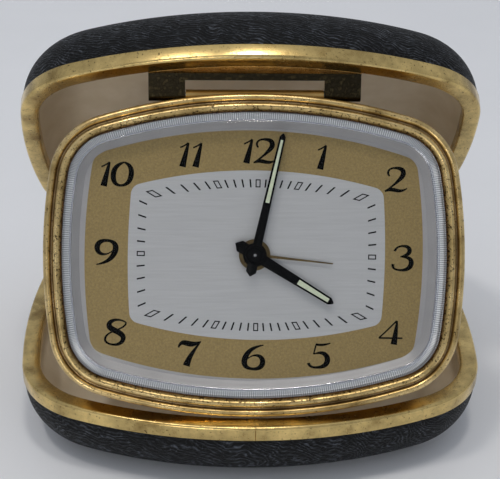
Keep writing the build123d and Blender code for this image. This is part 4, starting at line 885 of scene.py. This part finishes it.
def mark_master(name, width, line=0.0):
    """One minute mark, flat on its back: a bar, or an open frame with a line of some width."""
    clear_selection()
    bpy.ops.mesh.primitive_plane_add(size=1.0)
    piece = begin(name)
    for vertex in piece.data.vertices:
        vertex.co = (vertex.co.x*width, vertex.co.y*MARK_LENGTH, 0)
    bpy.ops.object.mode_set(mode="EDIT")
    bpy.ops.mesh.select_all(action="SELECT")
    if line:
        bpy.ops.mesh.inset(thickness=line)
        bpy.ops.mesh.delete(type="FACE")
        bpy.ops.mesh.select_all(action="SELECT")
    bpy.ops.mesh.extrude_region_move(TRANSFORM_OT_translate={"value": (0, 0, MARK_THICK)})
    bpy.ops.mesh.select_all(action="SELECT")
    bpy.ops.mesh.normals_make_consistent(inside=False)
    bpy.ops.object.mode_set(mode="OBJECT")
    return piece


class CLOCK_OT_minute_track(bpy.types.Operator):
    """Sixty printed minute marks round the panel, every fifth one an open frame"""
    bl_idname = "clock.minute_track"
    bl_label = "Minute track"

    def execute(self, context):
        width = context.scene.travel_clock.mark_width/MM
        marks = stations(PANEL, 0.4)
        far, near = outline(marks, MARK_OUTER, 0), outline(marks, MARK_INNER, 0)
        masters = {False: (mark_master("minute_bar", width), width),
                   True: (mark_master("five_minute_frame", FRAME_WIDTH, FRAME_LINE), FRAME_WIDTH)}
        copies = []
        for minute in range(60):
            master, mark_wide = masters[minute % 5 == 0]
            angle = math.tau*minute/60
            ahead = Vector((math.sin(angle), math.cos(angle)))
            side = Vector((math.cos(angle), -math.sin(angle)))
            corners = {}
            for lean in (-1, 1):
                start = side*lean*mark_wide/2
                corners[lean, 1] = crossing(far, start, ahead)
                corners[lean, -1] = crossing(near, start, ahead)
            copy = duplicate(master, "minute_mark")
            for vertex in copy.data.vertices:
                u, v = vertex.co.x/mark_wide + 0.5, vertex.co.y/MARK_LENGTH + 0.5
                low = corners[-1, -1].lerp(corners[1, -1], u)
                high = corners[-1, 1].lerp(corners[1, 1], u)
                spot = low.lerp(high, v)
                vertex.co = (spot.x, spot.y, MARK_LEVEL + vertex.co.z)
            copies.append(copy)
        for master, _ in masters.values():
            bpy.data.objects.remove(master)
        track = joined("minute_track_printed", copies)
        settle(track, panel_place, "head", "print")
        return {"FINISHED"}


# Strokes of the digits: x, y and half width in hundredths of the numeral height. A 9 is a 6 turned round
DIGITS = {
    "0": [[(52, 100, 3), (20, 88, 8), (6, 50, 11), (14, 10, 8), (40, 0, 3), (70, 12, 8), (84, 50, 11),
           (78, 90, 8), (52, 100, 3)]],
    "1": [[(46, 100, 4), (40, 70, 7), (30, 30, 10), (24, 0, 12)],
          [(46, 100, 3), (34, 88, 3), (14, 80, 3)]],
    "2": [[(20, 66, 3), (10, 76, 5), (16, 97, 3), (42, 102, 4), (74, 96, 9), (76, 70, 10), (56, 48, 6),
           (30, 22, 3), (2, 2, 3)], [(2, 2, 3), (20, 13, 7), (45, 7, 8), (70, 2, 5), (90, 16, 2)]],
    "3": [[(14, 78, 5), (20, 96, 3), (50, 104, 4), (78, 92, 9), (72, 62, 8), (36, 55, 2)],
          [(36, 55, 2), (76, 56, 7), (86, 26, 11), (66, 0, 7), (30, -3, 3), (4, 6, 4), (8, 24, 6)]],
    "4": [[(72, 100, 3), (38, 62, 3), (2, 27, 3)], [(2, 27, 3), (50, 27, 4), (96, 27, 3)],
          [(74, 100, 3), (70, 60, 8), (62, 0, 12)]],
    "5": [[(34, 96, 4), (60, 90, 6), (92, 102, 2)], [(36, 97, 3), (30, 76, 3), (26, 55, 3)],
          [(26, 55, 2), (58, 68, 6), (86, 46, 11), (78, 8, 10), (44, -3, 4), (10, 0, 4), (6, 18, 6)]],
    "6": [[(84, 100, 2), (42, 92, 6), (10, 56, 11), (6, 14, 11), (34, -3, 3), (76, 2, 9), (86, 36, 11),
           (66, 62, 5), (34, 56, 2), (18, 38, 2)]],
    "7": [[(6, 76, 3), (14, 102, 7), (42, 92, 12), (70, 88, 9), (94, 102, 2)],
          [(94, 102, 2), (62, 60, 6), (46, 30, 10), (38, 0, 13)]],
    "8": [[(86, 92, 3), (60, 106, 3), (20, 96, 8), (20, 66, 11), (56, 52, 10), (86, 30, 10), (66, -4, 6),
           (24, -4, 3), (0, 16, 5), (18, 46, 3), (60, 60, 3), (92, 80, 4), (86, 92, 3)]],
}

# Middle of each numeral on the dial
NUMERALS = {
    "12": (0.3, 21.7), "1": (13.6, 20.7), "2": (29.4, 16.2), "3": (31.1, -0.2), "4": (28.7, -16.0),
    "5": (13.7, -21.0), "6": (0.0, -21.5), "7": (-13.7, -21.0), "8": (-29.1, -16.6), "9": (-31.1, 0.0),
    "10": (-29.4, 16.4), "11": (-13.9, 20.7),
}

# Shares of the numeral height: way from a digit to the next one, width of a digit, of a last 1 against it
ADVANCE = {"1": 0.54, "2": 1.0, "0": 1.0}
DIGIT_WIDE = 0.9
LAST_ONE = 0.62

# Factor that widens a digit, factor that thickens its strokes, and what is trimmed off their half width
STRETCH = 1.06
INK_SPREAD = 1.18
INK_TRIM = 0.003

# Share of a round stroke's height that is left when it is pressed flat
PRINT_RELIEF = 0.05


def digit(character, height):
    """One printed digit: each stroke is a curve that swells and thins like a pen's, then a flat mesh."""
    clear_selection()
    turned = character == "9"
    bpy.ops.curve.primitive_nurbs_path_add()
    piece = begin("digit_" + character)
    curve = piece.data
    curve.splines.clear()
    curve.bevel_depth = 1.0
    curve.bevel_resolution = 2
    curve.resolution_u = 8
    curve.use_fill_caps = True
    for stroke in DIGITS["6" if turned else character]:
        line = curve.splines.new("NURBS")
        line.points.add(len(stroke) - 1)
        line.order_u = min(4, len(stroke))
        line.use_endpoint_u = True
        for point, (x, y, half) in zip(line.points, stroke):
            x, y, half = x/100, y/100, half/100
            if turned:
                x, y = DIGIT_WIDE - x, 1.0 - y
            point.co = (x*height*STRETCH, y*height, 0, 1)
            point.radius = (half*INK_SPREAD - INK_TRIM)*height
    piece.select_set(True)
    bpy.context.view_layer.objects.active = piece
    bpy.ops.object.convert(target="MESH")
    piece = begin("digit_" + character)
    for vertex in piece.data.vertices:
        vertex.co.z = max(0.0, vertex.co.z)*PRINT_RELIEF
    bpy.ops.object.mode_set(mode="EDIT")
    bpy.ops.mesh.select_all(action="SELECT")
    bpy.ops.mesh.remove_doubles(threshold=WELD/2)
    bpy.ops.mesh.normals_make_consistent(inside=False)
    bpy.ops.object.mode_set(mode="OBJECT")
    return piece


class CLOCK_OT_numerals(bpy.types.Operator):
    """Twelve hour numerals printed in swelling strokes"""
    bl_idname = "clock.numerals"
    bl_label = "Numerals"

    def execute(self, context):
        height = context.scene.travel_clock.numeral_height/MM
        masters = {character: digit(character, height) for character in "0123456789"}
        for text, (x, y) in NUMERALS.items():
            last = LAST_ONE if text[-1] == "1" else 1.0
            total = sum(ADVANCE.get(c, DIGIT_WIDE) for c in text[:-1])*height + DIGIT_WIDE*height*last
            start = x - total/2
            copies = []
            for character in text:
                copy = duplicate(masters[character], "numeral_" + text)
                copy.data.transform(Matrix.Translation((start, y - height/2, FIELD_LEVELS[1])))
                start += ADVANCE.get(character, DIGIT_WIDE)*height
                copies.append(copy)
            numeral = joined("numeral_" + text, copies) if len(copies) > 1 else copies[0]
            settle(numeral, dial_place, "head", "print")
        for master in masters.values():
            bpy.data.objects.remove(master)
        return {"FINISHED"}


# Hands

# Name, body and bearing in degrees; length, tail, width and width at the tip; share of the length at which
# the luminous strip starts; level of the upper face; radius and bore of the hub
HANDS = (("minute_hand", "minute", 13.2, (26.0, 4.6, 1.95, 1.3), 0.43, -1.45, 1.95, 1.01),
         ("hour_hand", "hour", 121.7, (19.4, 4.8, 2.3, 1.6), 0.55, -2.3, 2.5, 1.47))
HAND_THICK = 0.25

# Black metal beside a luminous strip, both sides together
STRIP_MARGIN = 0.84

# Name, slot, number of points and section of the cap on the minute hand and of the pin's end in it
HAND_MIDDLE = (("minute_hand_cap", "black", 48, ((1.4, -1.25), (1.4, -0.98), (1.27, -0.88), (0.6, -0.85))),
               ("centre_pin_end", "steel", 24, ((0.3, -0.9), (0.3, -0.77), (0.16, -0.71))))

# Alarm hand: bearing in degrees, underside, outline of the pointer, radius and bore of its hub
ALARM_BEARING = 96.5
ALARM_LEVEL = -3.4
ALARM_POINTER = ((0.34, 0), (0.14, 16.45), (0.08, 16.6), (-0.08, 16.6), (-0.14, 16.45), (-0.34, 0))
ALARM_HUB = (3.3, 1.93)


def blade(name, sizes, low, high, bevel):
    """Tapered blade with a blunt point at each end."""
    length, tail, width, tip = sizes
    shoulder, tail_shoulder = length - tip*0.6, tail - width*0.5
    points = [(width/2, 0), (tip/2, shoulder), (tip*0.2, length - tip*0.15), (0, length),
              (-tip*0.2, length - tip*0.15), (-tip/2, shoulder), (-width/2, 0),
              (-width*0.56, -tail_shoulder), (0, -tail), (width*0.56, -tail_shoulder)]
    return plate(name, points, low, high, bevel)


def strip(name, sizes, share, low, high):
    """Luminous strip in the outer part of a blade, with softened edges."""
    length, _, width, tip = sizes
    start, end = share*length, 0.96*length - tip*0.3
    wide = width - (width - tip)*start/length - STRIP_MARGIN
    narrow = width - (width - tip)*end/length - STRIP_MARGIN
    points = [(wide/2, start), (narrow/2, end), (-narrow/2, end), (-wide/2, start)]
    return plate(name, points, low, high, 0.03)


def hub(name, radius, bore, low, high):
    """Round boss with a turned groove and softened edges."""
    profile = [(bore, low), (radius, low), (radius, high - 0.1), (radius - 0.1, high), (radius - 0.35, high),
               (radius - 0.42, high - 0.06), (radius - 0.5, high), (bore, high)]
    return loft(name, [circle(size, level) for size, level in profile], closed=True)


class CLOCK_OT_hands(bpy.types.Operator):
    """Black minute and hour hands with their luminous strips, and the toned brass alarm hand"""
    bl_idname = "clock.hands"
    bl_label = "Hands"

    def execute(self, context):
        bevel = context.scene.travel_clock.hand_bevel/MM
        for name, body, bearing, sizes, share, top, radius, bore in HANDS:
            turn = head_place @ Matrix.Rotation(math.radians(-bearing), 4, "Z")
            hand = joined(name + "_black", [
                blade(name + "_blade", sizes, top - HAND_THICK, top, bevel),
                hub(name + "_hub", radius, bore, top - HAND_THICK, top + HAND_THICK)])
            settle(hand, turn, body, "black", [name])
            light = strip(name + "_strip", sizes, share, top - 0.05, top + 0.04)
            settle(light, turn, body, "lume", [name + "_lume"])
            if name == "minute_hand":
                for part, slot, count, profile in HAND_MIDDLE:
                    piece = loft(part, [circle(size, level, count) for size, level in profile])
                    settle(piece, turn, body, slot)
        turn = head_place @ Matrix.Rotation(math.radians(-ALARM_BEARING), 4, "Z")
        pointer = joined("alarm_hand_gilt", [
            plate("alarm_blade", ALARM_POINTER, ALARM_LEVEL, ALARM_LEVEL + HAND_THICK, 0.07),
            hub("alarm_hub", *ALARM_HUB, ALARM_LEVEL, ALARM_LEVEL + 2*HAND_THICK)])
        settle(pointer, turn, "alarm_pointer", "alarm_brass", ["alarm_hand"])
        return {"FINISHED"}


# Frame nodes whose finish isn't the one of their slot: the dial shows its margin beside the slope, in the
# slope's grey with its painted shade, the hinge leaves are brass without gilding, and the rims and the bezel
# under their skins have no map for the gilding
OWN_FINISH = {"dial": "slope_silver", "bezel": "plain_brass", "base_rim": "plain_brass",
              "lid_rim": "plain_brass", "rear_hinge_base_leaf": "plain_brass",
              "rear_hinge_lid_leaf": "plain_brass"}


class CLOCK_OT_frame_finishes(bpy.types.Operator):
    """Finishes of the parts that keep the shape they have in the frame"""
    bl_idname = "clock.frame_finishes"
    bl_label = "Frame finishes"

    def execute(self, context):
        slots = {part["node"]: part["material_slot"] for part in frame["record"]["subparts"]}
        for name, node in frame["nodes"].items():
            node.material_slots[0].material = finishes[OWN_FINISH.get(name, slots[name])]
        return {"FINISHED"}


# Stage

TABLE_SIZE = 60.0
LAMP_COLOUR = "#FFF9F2"
ROOM_COLOUR = "#E4E8F0"
ROOM_STRENGTH = 0.56

# Name, place, side, power in watts and spread in degrees of each lamp
LAMPS = (("ceiling_panel_left", (-0.34, -0.25, 1.15), 0.12, 2.0, 180),
         ("ceiling_panel_right", (0.03, -0.22, 1.2), 0.13, 1.9, 180),
         ("front_panel", (-0.55, -1.95, 0.32), 0.5, 0.085, 20))
LAMP_AIM = Vector((0, 0, 0.05))

# Camera fitted on the photograph: place, turns in degrees and focal length in millimetres
CAMERA_PLACE = (-0.01056, -0.24419, 0.16602)
CAMERA_TURNS = (("Z", -2.46), ("X", -27.72), ("Y", -1.15), ("X", 90))
CAMERA_LENS = 86.81


class CLOCK_OT_stage(bpy.types.Operator):
    """White table, two soft lamps overhead, a weak one in front, and the camera"""
    bl_idname = "clock.stage"
    bl_label = "Stage"

    def execute(self, context):
        clear_selection()
        bpy.ops.mesh.primitive_plane_add(size=TABLE_SIZE)
        floor = begin("table_top")
        floor.data.transform(Matrix.Translation((0, 0, cad_box[0][2])))
        # Table: matt white laminate, an even white with a soft shadow and no mirror
        white = tuple(context.scene.travel_clock.floor)
        laminate = mottled(
            "white_laminate_matt", {"Specular IOR Level": 0.15}, (white, tuple(c*0.98 for c in white)),
            patch_mm=40.0, rough=(0.5, 0.6), grain_mm=1.0, depth_mm=0.005)
        floor.data.materials.append(laminate)
        world = bpy.data.worlds.new("soft_room")
        world.use_nodes = True
        background = world.node_tree.nodes["Background"]
        background.inputs["Color"].default_value = (*linear(ROOM_COLOUR), 1.0)
        background.inputs["Strength"].default_value = ROOM_STRENGTH
        context.scene.world = world
        for name, place, size, power, spread in LAMPS:
            clear_selection()
            bpy.ops.object.light_add(type="AREA", location=place)
            lamp = context.object
            lamp.name = name
            lamp.data.shape = "SQUARE"
            lamp.data.size = size
            lamp.data.energy = power
            lamp.data.spread = math.radians(spread)
            lamp.data.color = linear(LAMP_COLOUR)
            lamp.rotation_euler = (LAMP_AIM - Vector(place)).to_track_quat("-Z", "Y").to_euler()
        clear_selection()
        bpy.ops.object.camera_add(location=CAMERA_PLACE)
        camera = context.object
        camera.name = "camera"
        turn = Matrix.Identity(3)
        for axis, angle in CAMERA_TURNS:
            turn = turn @ Matrix.Rotation(math.radians(angle), 3, axis)
        camera.rotation_euler = turn.to_euler()
        camera.data.sensor_fit = "HORIZONTAL"
        camera.data.sensor_width = 36.0
        camera.data.lens = CAMERA_LENS
        camera.data.clip_start = 0.01
        context.scene.camera = camera
        context.scene.view_settings.view_transform = "Standard"
        return {"FINISHED"}


STEPS = (CLOCK_OT_leather_covers, CLOCK_OT_gilt_rims, CLOCK_OT_bezel, CLOCK_OT_crystal,
         CLOCK_OT_silver_ring, CLOCK_OT_dial_fields, CLOCK_OT_minute_track, CLOCK_OT_numerals,
         CLOCK_OT_hands, CLOCK_OT_frame_finishes, CLOCK_OT_stage)


class CLOCK_PT_panel(bpy.types.Panel):
    """Steps that build the clock, and its sizes and colours"""
    bl_label = "Folding Travel Clock"
    bl_idname = "CLOCK_PT_panel"
    bl_space_type = "VIEW_3D"
    bl_region_type = "UI"
    bl_category = "Clock"

    def draw(self, context):
        look = context.scene.travel_clock
        for name in ClockLook.__annotations__:
            self.layout.prop(look, name)
        for step in STEPS:
            self.layout.operator(step.bl_idname)


CLASSES = (ClockLook, *STEPS, CLOCK_PT_panel)


def register():
    for kind in CLASSES:
        bpy.utils.register_class(kind)
    bpy.types.Scene.travel_clock = PointerProperty(type=ClockLook)


def unregister():
    del bpy.types.Scene.travel_clock
    for kind in reversed(CLASSES):
        bpy.utils.unregister_class(kind)


def main():
    """Builds the clock."""
    register()
    make_finishes()
    bpy.ops.clock.leather_covers()
    bpy.ops.clock.gilt_rims()
    bpy.ops.clock.bezel()
    bpy.ops.clock.crystal()
    bpy.ops.clock.silver_ring()
    bpy.ops.clock.dial_fields()
    bpy.ops.clock.minute_track()
    bpy.ops.clock.numerals()
    bpy.ops.clock.hands()
    bpy.ops.clock.frame_finishes()
    bpy.ops.clock.stage()


if __name__ == "__main__":
    main()
